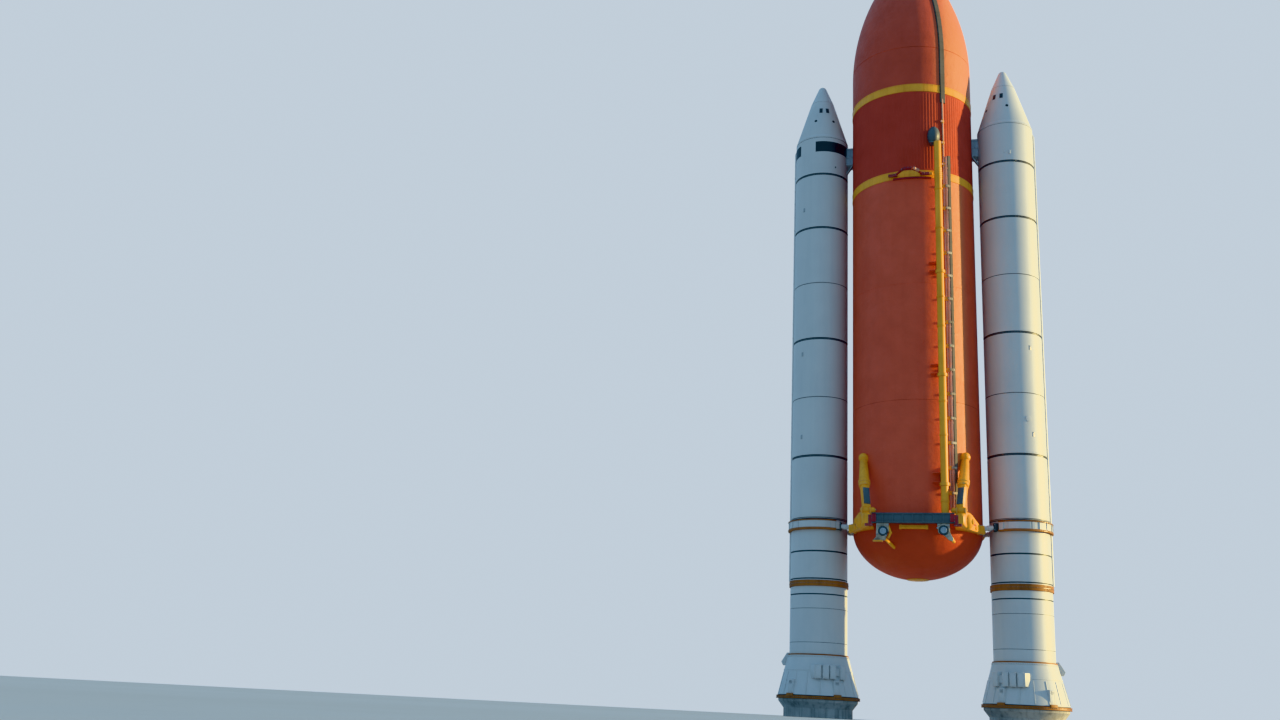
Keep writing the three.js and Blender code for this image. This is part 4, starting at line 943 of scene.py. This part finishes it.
def booster_bodies(name, side, axis, radius, sizes):
    """Drums with bands and joints, each joint with its ring of pins, and small covers on their walls."""

    def body(title, low, high, rings, pins, *covers):
        """One body: the ringed drum, its pins by radius, height and size, and its covers."""
        profile, paints = ringed(radius, low, high, rings)
        shapes = [turned(profile, axis, paint=paints), stud_ring(sizes.pin_count, *pins, axis, paint=3), *covers]
        piece(f"{name}_{title}", shapes, WHITE, "white_paint")

    def cover(azimuth, height, size, bevel, paint):
        """A box on the case's wall."""
        return block(polar(azimuth, radius, height, axis), size, facing(azimuth), bevel, paint)

    rings = [(4.62, 4.645, -0.008, 1), (6.76, 6.785, -0.008, 1), (7.64, 7.72, -0.015, 1), (8.19, 8.58, 0.07, 2),
             (8.64, 8.72, -0.01, 1), (10.40, 10.5, -0.02, 1), (12.54, 12.596, -0.015, 1)]
    body("aft_segment", SKIRT_TOP, FIRST_JOINT, rings, (radius + 0.07, 8.385, 0.02))
    titles = ("aft_centre_segment", "forward_centre_segment", "forward_segment")
    for number, (title, plug) in enumerate(zip(titles, (18.1, 23.9, 34.6))):
        low = FIRST_JOINT + number * SEGMENT_LENGTH
        middle = low + SEGMENT_LENGTH / 2
        covers = [stud_ring(sizes.pin_count, radius, middle + 0.22, 0.016, axis)]
        if side < 0 or number < 2:
            covers.append(cover(side * 34, plug, (0.15, 0.3, 0.024), 0.01, 3))
        if side > 0 and number == 0:
            covers.append(studs(polar(24, radius, 19.1, axis), facing(24)[2], 0.19, 0.03, 24))
        body(title, low, low + SEGMENT_LENGTH, [(low + 0.02, low + 0.06, -0.015, 1), (middle, middle + 0.15, -0.03, 1)],
             (radius - 0.03, middle + 0.075, 0.024), *covers)
    low = FIRST_JOINT + 3 * SEGMENT_LENGTH
    if side < 0:
        band = [(radius - 0.01, 38.96), (radius + 0.006, 38.96), (radius + 0.006, 39.75), (radius - 0.01, 39.75)]
        covers = [bowed(band, (-7, 313), axis, 120, paint=4), cover(38, 37.8, (0.09, 0.12, 0.03), 0.01, 1)]
    else:
        covers = [cover(7, 37.86, (0.16, 0.3, 0.08), 0.03, 0), cover(-3, 37.9, (0.1, 0.16, 0.03), 0.012, 0)]
    body("forward_skirt", low, FRUSTUM_BASE, [(low + 0.015, low + 0.165, -0.03, 1), (40.06, 40.085, -0.008, 1)],
         (radius - 0.03, low + 0.09, 0.024), *covers)
    nose_of_booster(name, side, axis, radius)
    tunnel_piece(name, side, axis, radius)


def nose_of_booster(name, side, axis, radius):
    """The frustum with its slots and round ports, and the cap that ends it in a round tip."""
    slope = (radius - CAP_RADIUS) / (CAP_BASE - FRUSTUM_BASE)

    def wall(height):
        """The cone's radius falls evenly with the height."""
        return radius - slope * (height - FRUSTUM_BASE)

    rows = [(0, FRUSTUM_BASE), (radius - 0.014, FRUSTUM_BASE), (radius, FRUSTUM_BASE + 0.014),
            (wall(40.3), 40.3), (wall(40.31), 40.31), (wall(40.34) - 0.012, 40.34), (wall(40.37), 40.37),
            (wall(43.49), 43.49), (0.8, CAP_BASE), (0, CAP_BASE)]
    shapes = [turned(rows, axis)]
    tilt = math.atan(slope)
    for azimuth in ((2, 26) if side < 0 else (-34, -8)):
        centre, turn = polar(azimuth, wall(42.58), 42.58, axis), leaning(azimuth, tilt)
        shapes += [block(centre, (0.23, 0.44, 0.03), turn, 0.012, paint=4),
                   block(centre, (0.31, 0.52, 0.014), turn, 0.006)]
    for azimuth in ((-12, 42) if side < 0 else (-58, 8)):
        centre, out = polar(azimuth, wall(41.64), 41.64, axis), leaning(azimuth, tilt)[2]
        shapes.append(studs(centre, out, 0.1, 0.02, 20, paint=4))
    shapes.append(stud_ring(48, wall(40.22), 40.22, 0.014, axis))
    piece(f"{name}_frustum", shapes, WHITE, "white_paint")
    turn = np.linspace(math.atan2(0.52, 1.2), math.pi / 2, 14)[:-1]
    rows = [(0, CAP_BASE), (0.80, CAP_BASE), (CAP_RADIUS, CAP_BASE + 0.012),
            *np.column_stack([TIP_RADIUS * np.cos(turn), CAP_TOP - TIP_RADIUS + TIP_RADIUS * np.sin(turn)]),
            (0, CAP_TOP)]
    shapes = [turned(rows, axis, 96), stud_ring(24, 0.79, 43.57, 0.012, axis)]
    piece(f"{name}_nose_cap", shapes, ("booster_white",), "white_paint")


def tunnel_piece(name, side, axis, radius):
    """The systems tunnel up the outboard side: a rounded cover in sections with a slanted top."""
    azimuth = side * 90
    along, _, out = facing(azimuth)
    bow = np.radians(np.linspace(180, 0, 11))
    section = [(-0.15, -0.05), (-0.15, 0.02), *np.column_stack([0.125 * np.cos(bow), 0.022 + 0.096 * np.sin(bow)]),
               (0.15, 0.02), (0.15, -0.05)]
    joint = [(-0.128, 0.0), *np.column_stack([0.133 * np.cos(bow), 0.024 + 0.104 * np.sin(bow)]), (0.128, 0.0)]
    path = polar(azimuth, radius, np.array([8.62, 20.0, 30.0, 39.7, 39.9]), axis)
    path[-1] -= out * 0.08
    levels = np.arange(8.8, 39.6, 0.34)
    edges = [polar(azimuth, radius + 0.026, levels, axis) + along * shift for shift in (-0.123, 0.123)]
    shapes = [swept(section, path, along, out),
              *(swept(joint, polar(azimuth, radius, np.array([level, level + 0.06]), axis), along, out)
                for level in np.arange(9.2, 39.4, 1.02)),
              studs(np.concatenate(edges), out, 0.012, 0.012, paint=1)]
    piece(f"{name}_systems_tunnel", shapes, ("booster_white", "bare_steel"), "white_paint")


def booster_foot(name, side, axis, radius, sizes):
    """The skirt, the motors on it and the plinth, a round block that flares to the skirt's base ring."""
    skirt_piece(name, side, axis, sizes.pin_count)
    motors_piece(name, side, axis)
    rows = [(0, 0), (2.18, 0), (2.2, 0.02), (2.2, 0.53), (2.21, 0.56), (2.52, 0.955), (2.54, 0.975), (2.54, 1.1),
            (2.52, 1.12), (0, 1.12)]
    plinth = turned(rows, axis, FOOT_COLUMNS, wear=EVERY_OTHER)
    piece(f"{name}_plinth", [plinth], ("cast_concrete",), "plinth_concrete")


def skirt_piece(name, side, axis, pins):
    """The aft skirt: a flared wall between ringed ends, four hold-down posts, slanted ribs and an outboard fin."""
    rows = [(0, 1.12), (2.66, 1.12), (2.68, 1.13), (2.68, 1.16), (2.66, 1.17), (2.66, 1.26), (2.68, 1.27), (2.68, 1.3),
            (2.66, 1.31), (2.6, 1.31), (2.585, 1.36), (2.2, 2.86), (2.215, 2.87), (2.205, 2.93), (2.18, 2.94),
            (2.0, 3.64), (1.98, 3.72), (2.0, 3.73), (1.985, 3.80), (1.955, 3.81), (1.95, 3.83), (1.945, 3.895),
            (1.93, SKIRT_TOP), (0, SKIRT_TOP)]
    paints = [0] + [2] * 8 + [1] + [0] * 10 + [2] * 3
    shapes = [turned(rows, axis, FOOT_COLUMNS, paints), stud_ring(pins, 2.66, 1.215, 0.022, axis, paint=3),
              stud_ring(pins, 1.99, 3.765, 0.018, axis, paint=3)]
    for azimuth in (-145, -35, 35, 145):
        along, up, out = turn = facing(-side * azimuth)
        post = polar(-side * azimuth, 2.45, 1.76, axis)
        nuts, cheeks = (post - along * 0.13, post + along * 0.13), (post - along * 0.15, post + along * 0.15)
        shapes += [block(post - out * 0.14, (0.42, 1.05, 0.5), turn, 0.03),
                   block(post + up * 0.35 - out * 0.12, (0.3, 0.26, 0.46), turn, 0.03),
                   block(post - up * 0.42, (0.5, 0.2, 0.5), turn, 0.03, paint=2),
                   *(rod(nut - up * 0.34, nut - up * 0.22, 0.06, 16, 0.01, paint=3) for nut in nuts),
                   *(block(cheek - out * 0.12, (0.05, 0.9, 0.47), turn, 0.012) for cheek in cheeks)]
    lean = math.atan2(2.585 - 2.2, 2.86 - 1.36)
    shapes += [block(polar(azimuth, 2.40, 2.1, axis), (0.06, 1.4, 0.05), leaning(azimuth, lean), 0.012)
               for azimuth in np.arange(-170, 180, 20.0)]
    fin = [(1.7, 3.2), (2.27, 3.2), (2.38, 3.42), (2.02, 4.0), (1.88, 4.0), (1.88, 3.915), (1.7, 3.915)]
    shapes.append(plate(fin, (axis, 0, 0), 0.4, facing(side * 90)[::-1], 0.02))
    piece(f"{name}_aft_skirt", shapes, WHITE[:4], "white_paint")


def motors_piece(name, side, axis):
    """A rail round the inboard front of the skirt and four motors on it, the first with a fin."""
    rail = [(2.0, 2.58), (2.36, 2.58), (2.38, 2.6), (2.38, 3.02), (2.36, 3.04), (2.2, 3.06), (2.0, 3.06)]
    shapes = [bowed(rail, sorted((-side * 5, -side * 48)), axis, 28)]
    fin = [(side * across, out) for across, out in ((0.2, -0.2), (0.2, 0.22), (0.26, 0.22), (0.5, -0.1), (0.5, -0.2))]
    for number, azimuth in enumerate((7.5, 18.5, 29.5, 46)):
        along, up, out = turn = facing(-side * azimuth)
        centre = polar(-side * azimuth, 2.3, 2.8, axis)
        edge = [centre + along * x + up * y + out * 0.235 for x in (-0.14, 0.14) for y in (-0.3, 0, 0.3)]
        shapes += [block(centre, (0.42, 0.86, 0.46), turn, 0.04), block(centre + out * 0.01, (0.34, 0.7, 0.46), turn),
                   rod(centre - up * 0.4, centre - up * 0.43, 0.13, 24, 0.008, paint=1),
                   rod(centre + up * 0.3, centre + up * 0.43, (0.16, 0.12), 24, 0.01)]
        if number == 0:
            shapes.append(plate(fin, centre, 0.8, turn[[0, 2, 1]], 0.02))
        shapes.append(studs(edge, out, 0.014, 0.006, paint=2))
    piece(f"{name}_separation_motors", shapes, ("booster_white", "joint_slate", "bare_steel"), "white_paint")


def booster_links(name, side, axis, radius, sizes):
    """The ring, the two aft links and the forward fitting, which all reach toward the tank."""
    ring_piece(name, side, axis, radius)
    for face, front in (("front", -1), ("back", 1)):
        link_piece(f"{name}_aft_link_{face}", -side, front, axis, sizes.tank_radius / SCALE)
    centre = np.array([axis - side * 2.05, 0, 39.04])
    shapes = [block(centre, (0.62, 0.8, 1.3), bevel=0.05), block(centre, (0.66, 0.9, 0.16), bevel=0.03),
              *(block(centre + (0, 0, rise), (0.66, 0.88, 0.14), bevel=0.03) for rise in (0.6, -0.6)),
              *(block(centre + (0, y, 0), (0.1, 0.08, 1.2)) for y in (-0.41, 0.41)),
              rod((axis - side * 1.78, -0.3, 37.68), (axis - side * 2.3, -0.3, 38.46), 0.09, 24, 0.012, paint=1),
              studs([centre + (0.2 * i, -0.45, 0.6 * j) for i in (-1, 0, 1) for j in (-1, 0, 1)], FRONT, 0.025, 0.02,
                    paint=1)]
    piece(f"{name}_forward_fitting", shapes, ("pale_blue_enamel", "bare_steel"), "pale_blue_paint")


def ring_piece(name, side, axis, radius):
    """The attach ring: a channel round the case that is open toward the tank, with ribs, bolts and covers."""
    low, high, outer = 11.85, 12.51, 2.06
    lip, web = outer - 0.012, outer - 0.06
    section = [(radius - 0.01, low), (lip, low), (outer, low + 0.012), (outer, low + 0.128), (lip, low + 0.14),
               (web, low + 0.14), (web, high - 0.08), (lip, high - 0.08), (outer, high - 0.068), (outer, high - 0.012),
               (lip, high), (radius - 0.01, high)]
    steps = 96
    paints = np.zeros((steps - 1, len(section)))
    paints[:, [0, 1, 2, 3, 7, 8, 9, 10]] = 1
    first, last = mouth = sorted((-side * 140, -side * 400))
    azimuths = np.linspace(first + 2, last - 2, 60)
    panel = [(radius, 11.94), (2.03, 11.94), (2.045, 11.96), (2.045, 12.4), (2.03, 12.42), (radius, 12.42)]
    strap = [(radius, 11.94), (2.055, 11.94), (2.055, 12.42), (radius, 12.42)]
    panel_span, strap_span, box = ((-21, 19), (20.5, 26), -34) if side > 0 else ((-34, 20), (28, 38), 44)
    shapes = [bowed(section, mouth, axis, steps, paint=paints),
              *(block(polar(azimuth, 1.95, 12.18, axis), (0.06, 0.5, 0.2), facing(azimuth), 0.012)
                for azimuth in np.linspace(first + 3, last - 3, 15)),
              *(studs(polar(azimuths, outer, level, axis), polar(azimuths, 1.0, 0.0), 0.018, 0.01, paint=2)
                for level in (low + 0.07, high - 0.04)),
              bowed(panel, panel_span, axis, 16), bowed(strap, strap_span, axis, 6),
              block(polar(box, 1.98, 12.18, axis), (0.34, 0.48, 0.2), facing(box), 0.03)]
    piece(f"{name}_attach_ring", shapes, ("booster_white", "rust_band", "bare_steel"), "white_paint")


def link_piece(name, toward, front, axis, tank_radius):
    """A collared bar from the booster's ring; the back one ends in a seat on the tank's wall."""
    start = np.array([axis + toward * 1.4, front * 1.2, 12.15])
    end = np.array([axis + toward * 2.4, front * 1.5, 12.0])
    length = float(np.linalg.norm(end - start))
    bar = [(0.1, 0), (0.1, 0.15), (0.42, 0.15), (0.44, 0.175), (0.6, 0.175), (0.62, 0.15), (length - 0.26, 0.14),
           (length - 0.24, 0.17), (length - 0.06, 0.17), (length, 0.13), (length, 0)]
    shapes = [spun(start, end, bar, 32, paint=2, wear=[0, 0, 1, 0, 1, 0, 1, 0, 1, 0]),
              block(start - (toward * 0.02, 0, 0), (0.4, 0.42, 0.5), bevel=0.04, paint=3),
              block(start + (toward * 0.14, 0, 0.0), (0.16, 0.46, 0.54), bevel=0.05, paint=3)]
    if front > 0:
        along, up, out = seat = facing(math.degrees(math.atan2(end[0], -end[1])))
        wall = end * (1, 1, 0) / np.hypot(end[0], end[1]) * tank_radius + (0, 0, end[2])
        bolts = [wall + out * 0.13 + along * x + up * z for x in (-0.3, 0.3) for z in (-0.28, 0, 0.28)]
        shapes += [block(wall + out * 0.05, (0.78, 0.74, 0.16), seat, 0.04, steps=3),
                   block((wall + end) / 2, (0.46, 0.42, 0.56), seat, 0.1, steps=4),
                   rod(end - (0, 0, 0.27), end + (0, 0, 0.27), 0.2, 32, 0.04),
                   rod(end - (0, 0, 0.31), end + (0, 0, 0.31), 0.08, 20, 0.012, paint=1),
                   studs(bolts, out, 0.035, 0.022, paint=1)]
    else:
        shapes.append(block(end - (toward * 0.06, -0.06, 0), (0.14, 0.42, 0.34), bevel=0.04))
    places = [start + (x, front * 0.22, z) for x in (-0.14, 0.14) for z in (-0.16, 0.16)]
    shapes.append(studs(places, (0, front, 0), 0.028, 0.02, paint=1))
    piece(name, shapes, ("golden_paint", "pale_blue_enamel", "booster_white", "joint_slate"), "yellow_paint")


# Stage

FLOOR_RINGS = np.array([1.0, 8.0, 40.0, 150.0, 600.0])
KEY_DISTANCE = 60.0
STAIN_SHARE = 0.86
CAMERA_PLACE, CAMERA_YAW, CAMERA_PITCH, CAMERA_ROLL = (2.0477, -40.1587, 0.02), -0.2837, 0.28056, 0.0509
CAMERA_SENSOR, CAMERA_NEAR, CAMERA_FAR = 36.0, 0.05, 2000.0


def floor_stage(stage):
    """A flat disc of rings round the origin, weathered in soft patches."""
    rows = polar(np.linspace(0, 360, 96, endpoint=False)[None], FLOOR_RINGS[:, None], 0.0)
    index = np.arange(rows.shape[0] * rows.shape[1]).reshape(rows.shape[:2])
    here, there = index[:-1], index[1:]
    quads = np.stack([there, np.roll(there, -1, 1), np.roll(here, -1, 1), here], axis=-1).reshape(-1, 4)
    mesh = bpy.data.meshes.new("floor")
    mesh.from_pydata(rows.reshape(-1, 3).tolist(), [], [index[0].tolist()] + quads.tolist())
    mesh.validate()
    material, g, shader = new_material("floor_screed")
    base = g.effect("weathering", Paint=colour(stage.floor), Stain=colour([c * STAIN_SHARE for c in stage.floor]),
                    Patches=0.4, Streaks=0.0, Specks=0.2, Size=0.5, Roughness=0.8)
    g.give(shader.inputs["Base Color"], base["Color"])
    g.give(shader.inputs["Roughness"], base["Roughness"])
    mesh.materials.append(material)
    placed("floor", mesh)


def light_stage(stage):
    """Plain light from all round with a pale backdrop for the camera, and one warm low key light."""
    world = bpy.data.worlds.new("studio")
    bpy.context.scene.world = world
    world.use_nodes = True
    g = Graph(world.node_tree)
    light = g.tree.nodes["Background"]
    g.give(light.inputs["Color"], colour(stage.sky))
    g.give(light.inputs["Strength"], stage.sky_strength)
    seen = g.add("ShaderNodeBackground", {"Color": colour(stage.backdrop), "Strength": 1.0}).outputs[0]
    straight = g.add("ShaderNodeLightPath").outputs["Is Camera Ray"]
    both_ways = g.add("ShaderNodeMixShader", {0: straight, 1: light.outputs[0], 2: seen}).outputs[0]
    g.give(g.tree.nodes["World Output"].inputs["Surface"], both_ways)
    key = bpy.data.lights.new("key", "SUN")
    key.energy, key.color, key.angle = stage.key_strength, stage.key[:3], stage.key_softness
    lamp = placed("key", key)
    level = math.cos(stage.key_elevation)
    toward = Vector((math.sin(stage.key_azimuth) * level, -math.cos(stage.key_azimuth) * level,
                     math.sin(stage.key_elevation)))
    lamp.rotation_euler = toward.to_track_quat("Z", "Y").to_euler()
    lamp.location = toward * KEY_DISTANCE


def camera_stage(stage):
    """The camera at the photograph's place, turned by its yaw, its pitch and its roll."""
    data = bpy.data.cameras.new("camera")
    data.lens, data.sensor_width = stage.lens, CAMERA_SENSOR
    data.clip_start, data.clip_end = CAMERA_NEAR, CAMERA_FAR
    camera = placed("camera", data)
    flat = math.cos(CAMERA_PITCH)
    ahead = Vector((math.sin(CAMERA_YAW) * flat, math.cos(CAMERA_YAW) * flat, math.sin(CAMERA_PITCH)))
    right = Vector((math.cos(CAMERA_YAW), -math.sin(CAMERA_YAW), 0))
    up = right.cross(ahead)
    across = right * math.cos(CAMERA_ROLL) + up * math.sin(CAMERA_ROLL)
    upward = up * math.cos(CAMERA_ROLL) - right * math.sin(CAMERA_ROLL)
    turn = Matrix((across, upward, -ahead)).transposed().to_4x4()
    camera.matrix_world = Matrix.Translation(CAMERA_PLACE) @ turn
    bpy.context.scene.camera = camera


def stage_pieces(sizes):
    """The floor, the light and the camera."""
    for build in (floor_stage, light_stage, camera_stage):
        build(bpy.context.scene.rocket_stage)
    bpy.context.scene.view_settings.view_transform = "Khronos PBR Neutral"
    bpy.context.scene.view_settings.look = "None"


# Add-on

def shade(name, description, default):
    return FloatVectorProperty(name=name, description=description, default=default, size=3, min=0, max=1,
                               subtype="COLOR")


def length_field(name, description, default, least):
    return FloatProperty(name=name, description=description, default=default, min=least, unit="LENGTH")


def count_field(name, description, default, most):
    return IntProperty(name=name, description=description, default=default, min=12, max=most)


def strength_field(name, description, default):
    return FloatProperty(name=name, description=description, default=default, min=0)


def angle_field(name, description, degrees):
    return FloatProperty(name=name, description=description, default=math.radians(degrees), subtype="ANGLE")


class ROCKET_PG_sizes(bpy.types.PropertyGroup):
    """Sizes of the model that a user would change."""

    tank_radius: length_field("Tank radius", "Radius of the tank's barrels", TANK_RADIUS, 0.1)
    booster_radius: length_field("Booster radius", "Radius of the boosters' cases", BOOSTER_RADIUS, 0.1)
    booster_offset: length_field("Booster offset", "Distance from the tank's axis to a booster's axis",
                                 BOOSTER_OFFSET, 0.5)
    stringer_count: count_field("Stringers", "Number of stringers round the intertank", 128, 160)
    stringer_depth: length_field("Stringer depth", "How deep the intertank's ribs are", 0.007, 0)
    pin_count: count_field("Joint pins", "Number of pins round each booster joint", 120, 180)


class ROCKET_PG_colours(bpy.types.PropertyGroup):
    """Base colours of the finishes."""

    foam: shade("Tank foam", "Sprayed insulation of the tank", (0.76, 0.142, 0.07))
    # Darker than the tank foam: painted shade on the ogive and the upper barrel
    ogive: shade("Ogive foam", "Sprayed insulation of the ogive", (0.60, 0.105, 0.052))
    # Darker than the tank foam: partly the dome foam's own tone, partly painted shade under the dome
    dome: shade("Dome foam", "Sprayed insulation of the aft dome", (0.62, 0.086, 0.034))
    intertank: shade("Intertank", "Ribbed section between the two tanks", (0.55, 0.092, 0.055))
    golden: shade("Golden paint", "Bands, feed line and aft fittings", (1.0, 0.455, 0.055))
    white: shade("Booster white", "Booster cases, noses and skirts", (0.64, 0.64, 0.62))
    navy: shade("Navy", "Crossbeam, strut covers and feed fairing", (0.13, 0.155, 0.165))
    maroon: shade("Maroon", "Bipod and feed line brackets", (0.40, 0.05, 0.045))
    tray: shade("Tray grey", "Cable trays and nose cone", (0.17, 0.15, 0.13))
    # Also the pale rod on the bipod, which is a painted highlight
    line: shade("Line grey", "Pressure line and conduit beside the feed line", (0.80, 0.43, 0.31))
    pale_blue: shade("Pale blue", "Umbilical plates, links and forward fittings", (0.42, 0.50, 0.56))
    plate: shade("Plate grey", "Umbilical plates and conduit clips", (0.60, 0.52, 0.40))
    black: shade("Black", "Band and ports of the boosters", (0.012, 0.013, 0.018))
    slate: shade("Slate", "Booster joints", (0.045, 0.065, 0.075))
    rust: shade("Rust brown", "Base rings and case bands", (0.42, 0.16, 0.035))
    steel: shade("Steel", "Bolts and pins", (0.45, 0.44, 0.42))
    concrete: shade("Concrete", "Round plinths", (0.52, 0.50, 0.46))


class ROCKET_PG_stage(bpy.types.PropertyGroup):
    """Floor, light and camera."""

    floor: shade("Floor", "Pale floor", (0.53, 0.54, 0.54))
    sky: shade("Sky light", "Plain light from all round", (0.39, 0.68, 1.0))
    backdrop: shade("Backdrop", "Plain pale backdrop", (0.58, 0.66, 0.74))
    sky_strength: strength_field("Sky strength", "Strength of the light from all round", 0.75)
    key: shade("Key light", "Colour of the low key light", (1.0, 0.77, 0.29))
    key_strength: strength_field("Key strength", "Strength of the key light", 5.6)
    key_softness: angle_field("Key softness", "Apparent width of the key light", 1.5)
    key_azimuth: angle_field("Key azimuth", "From the front toward +X", 102.5)
    key_elevation: angle_field("Key elevation", "Height of the key light above the floor", 9)
    lens: FloatProperty(name="Lens", description="Focal length of the camera", default=33.94, min=1, unit="CAMERA")


def both(build, sizes):
    """Builds the pieces of the left and the right booster, each round its own axis."""
    for name, side in SIDES:
        build(name, side, side * sizes.booster_offset / SCALE, sizes.booster_radius / SCALE, sizes)


class PieceOperator:
    """Builds its pieces from the scene's sizes."""

    bl_options = {"REGISTER", "UNDO"}

    def execute(self, context):
        self.build(context.scene.rocket_sizes)
        return {"FINISHED"}


class ROCKET_OT_tank(PieceOperator, bpy.types.Operator):
    """Builds the ogive, the barrels, the aft dome and its cap"""

    bl_idname, bl_label = "rocket.tank", "Tank"
    build = staticmethod(tank_pieces)


class ROCKET_OT_bands(PieceOperator, bpy.types.Operator):
    """Builds the two golden bands"""

    bl_idname, bl_label = "rocket.bands", "Bands"
    build = staticmethod(band_pieces)


class ROCKET_OT_intertank(PieceOperator, bpy.types.Operator):
    """Builds the ribbed intertank"""

    bl_idname, bl_label = "rocket.intertank", "Intertank"
    build = staticmethod(intertank_pieces)


class ROCKET_OT_nose(PieceOperator, bpy.types.Operator):
    """Builds the nose cone and its spike"""

    bl_idname, bl_label = "rocket.nose", "Nose cone"
    build = staticmethod(nose_pieces)


class ROCKET_OT_feed(PieceOperator, bpy.types.Operator):
    """Builds the feed line, its fairing and its brackets"""

    bl_idname, bl_label = "rocket.feed", "Feed line"
    build = staticmethod(feed_pieces)


class ROCKET_OT_trays(PieceOperator, bpy.types.Operator):
    """Builds the cable trays and the pressure line"""

    bl_idname, bl_label = "rocket.trays", "Cable trays"
    build = staticmethod(tray_pieces)


class ROCKET_OT_bipod(PieceOperator, bpy.types.Operator):
    """Builds the forward bipod"""

    bl_idname, bl_label = "rocket.bipod", "Bipod"
    build = staticmethod(bipod_pieces)


class ROCKET_OT_frame(PieceOperator, bpy.types.Operator):
    """Builds the aft crossbeam, fittings, struts and umbilical plates"""

    bl_idname, bl_label = "rocket.frame", "Aft frame"
    build = staticmethod(frame_pieces)


class ROCKET_OT_cases(PieceOperator, bpy.types.Operator):
    """Builds the booster cases, forward skirts, noses and systems tunnels"""

    bl_idname, bl_label = "rocket.cases", "Booster cases"
    build = staticmethod(lambda sizes: both(booster_bodies, sizes))


class ROCKET_OT_feet(PieceOperator, bpy.types.Operator):
    """Builds the aft skirts, separation motors and plinths"""

    bl_idname, bl_label = "rocket.feet", "Booster feet"
    build = staticmethod(lambda sizes: both(booster_foot, sizes))


class ROCKET_OT_links(PieceOperator, bpy.types.Operator):
    """Builds the attach rings, aft links and forward fittings"""

    bl_idname, bl_label = "rocket.links", "Booster links"
    build = staticmethod(lambda sizes: both(booster_links, sizes))


class ROCKET_OT_stage(PieceOperator, bpy.types.Operator):
    """Builds the floor, the light and the camera"""

    bl_idname, bl_label = "rocket.stage", "Stage"
    build = staticmethod(stage_pieces)


OPERATORS = (ROCKET_OT_tank, ROCKET_OT_bands, ROCKET_OT_intertank, ROCKET_OT_nose, ROCKET_OT_feed, ROCKET_OT_trays,
             ROCKET_OT_bipod, ROCKET_OT_frame, ROCKET_OT_cases, ROCKET_OT_feet, ROCKET_OT_links, ROCKET_OT_stage)


class ROCKET_PT_pieces(bpy.types.Panel):
    """Lists the sizes, the colours and the operators"""

    bl_idname, bl_label = "ROCKET_PT_pieces", "Display rocket"
    bl_space_type, bl_region_type, bl_category = "VIEW_3D", "UI", "Rocket"

    def draw(self, context):
        for group in (context.scene.rocket_sizes, context.scene.rocket_colours, context.scene.rocket_stage):
            box = self.layout.box()
            for name in group.__annotations__:
                box.prop(group, name)
        for operator in OPERATORS:
            self.layout.operator(operator.bl_idname)


GROUPS = (("rocket_sizes", ROCKET_PG_sizes), ("rocket_colours", ROCKET_PG_colours), ("rocket_stage", ROCKET_PG_stage))


def register():
    for name, group in GROUPS:
        bpy.utils.register_class(group)
        setattr(bpy.types.Scene, name, PointerProperty(type=group))
    for one in (*OPERATORS, ROCKET_PT_pieces):
        bpy.utils.register_class(one)


def unregister():
    for one in (ROCKET_PT_pieces, *reversed(OPERATORS)):
        bpy.utils.unregister_class(one)
    for name, group in reversed(GROUPS):
        delattr(bpy.types.Scene, name)
        bpy.utils.unregister_class(group)


def main():
    register()
    for operator in OPERATORS:
        family, action = operator.bl_idname.split(".")
        getattr(getattr(bpy.ops, family), action)()


if __name__ == "__main__":
    main()
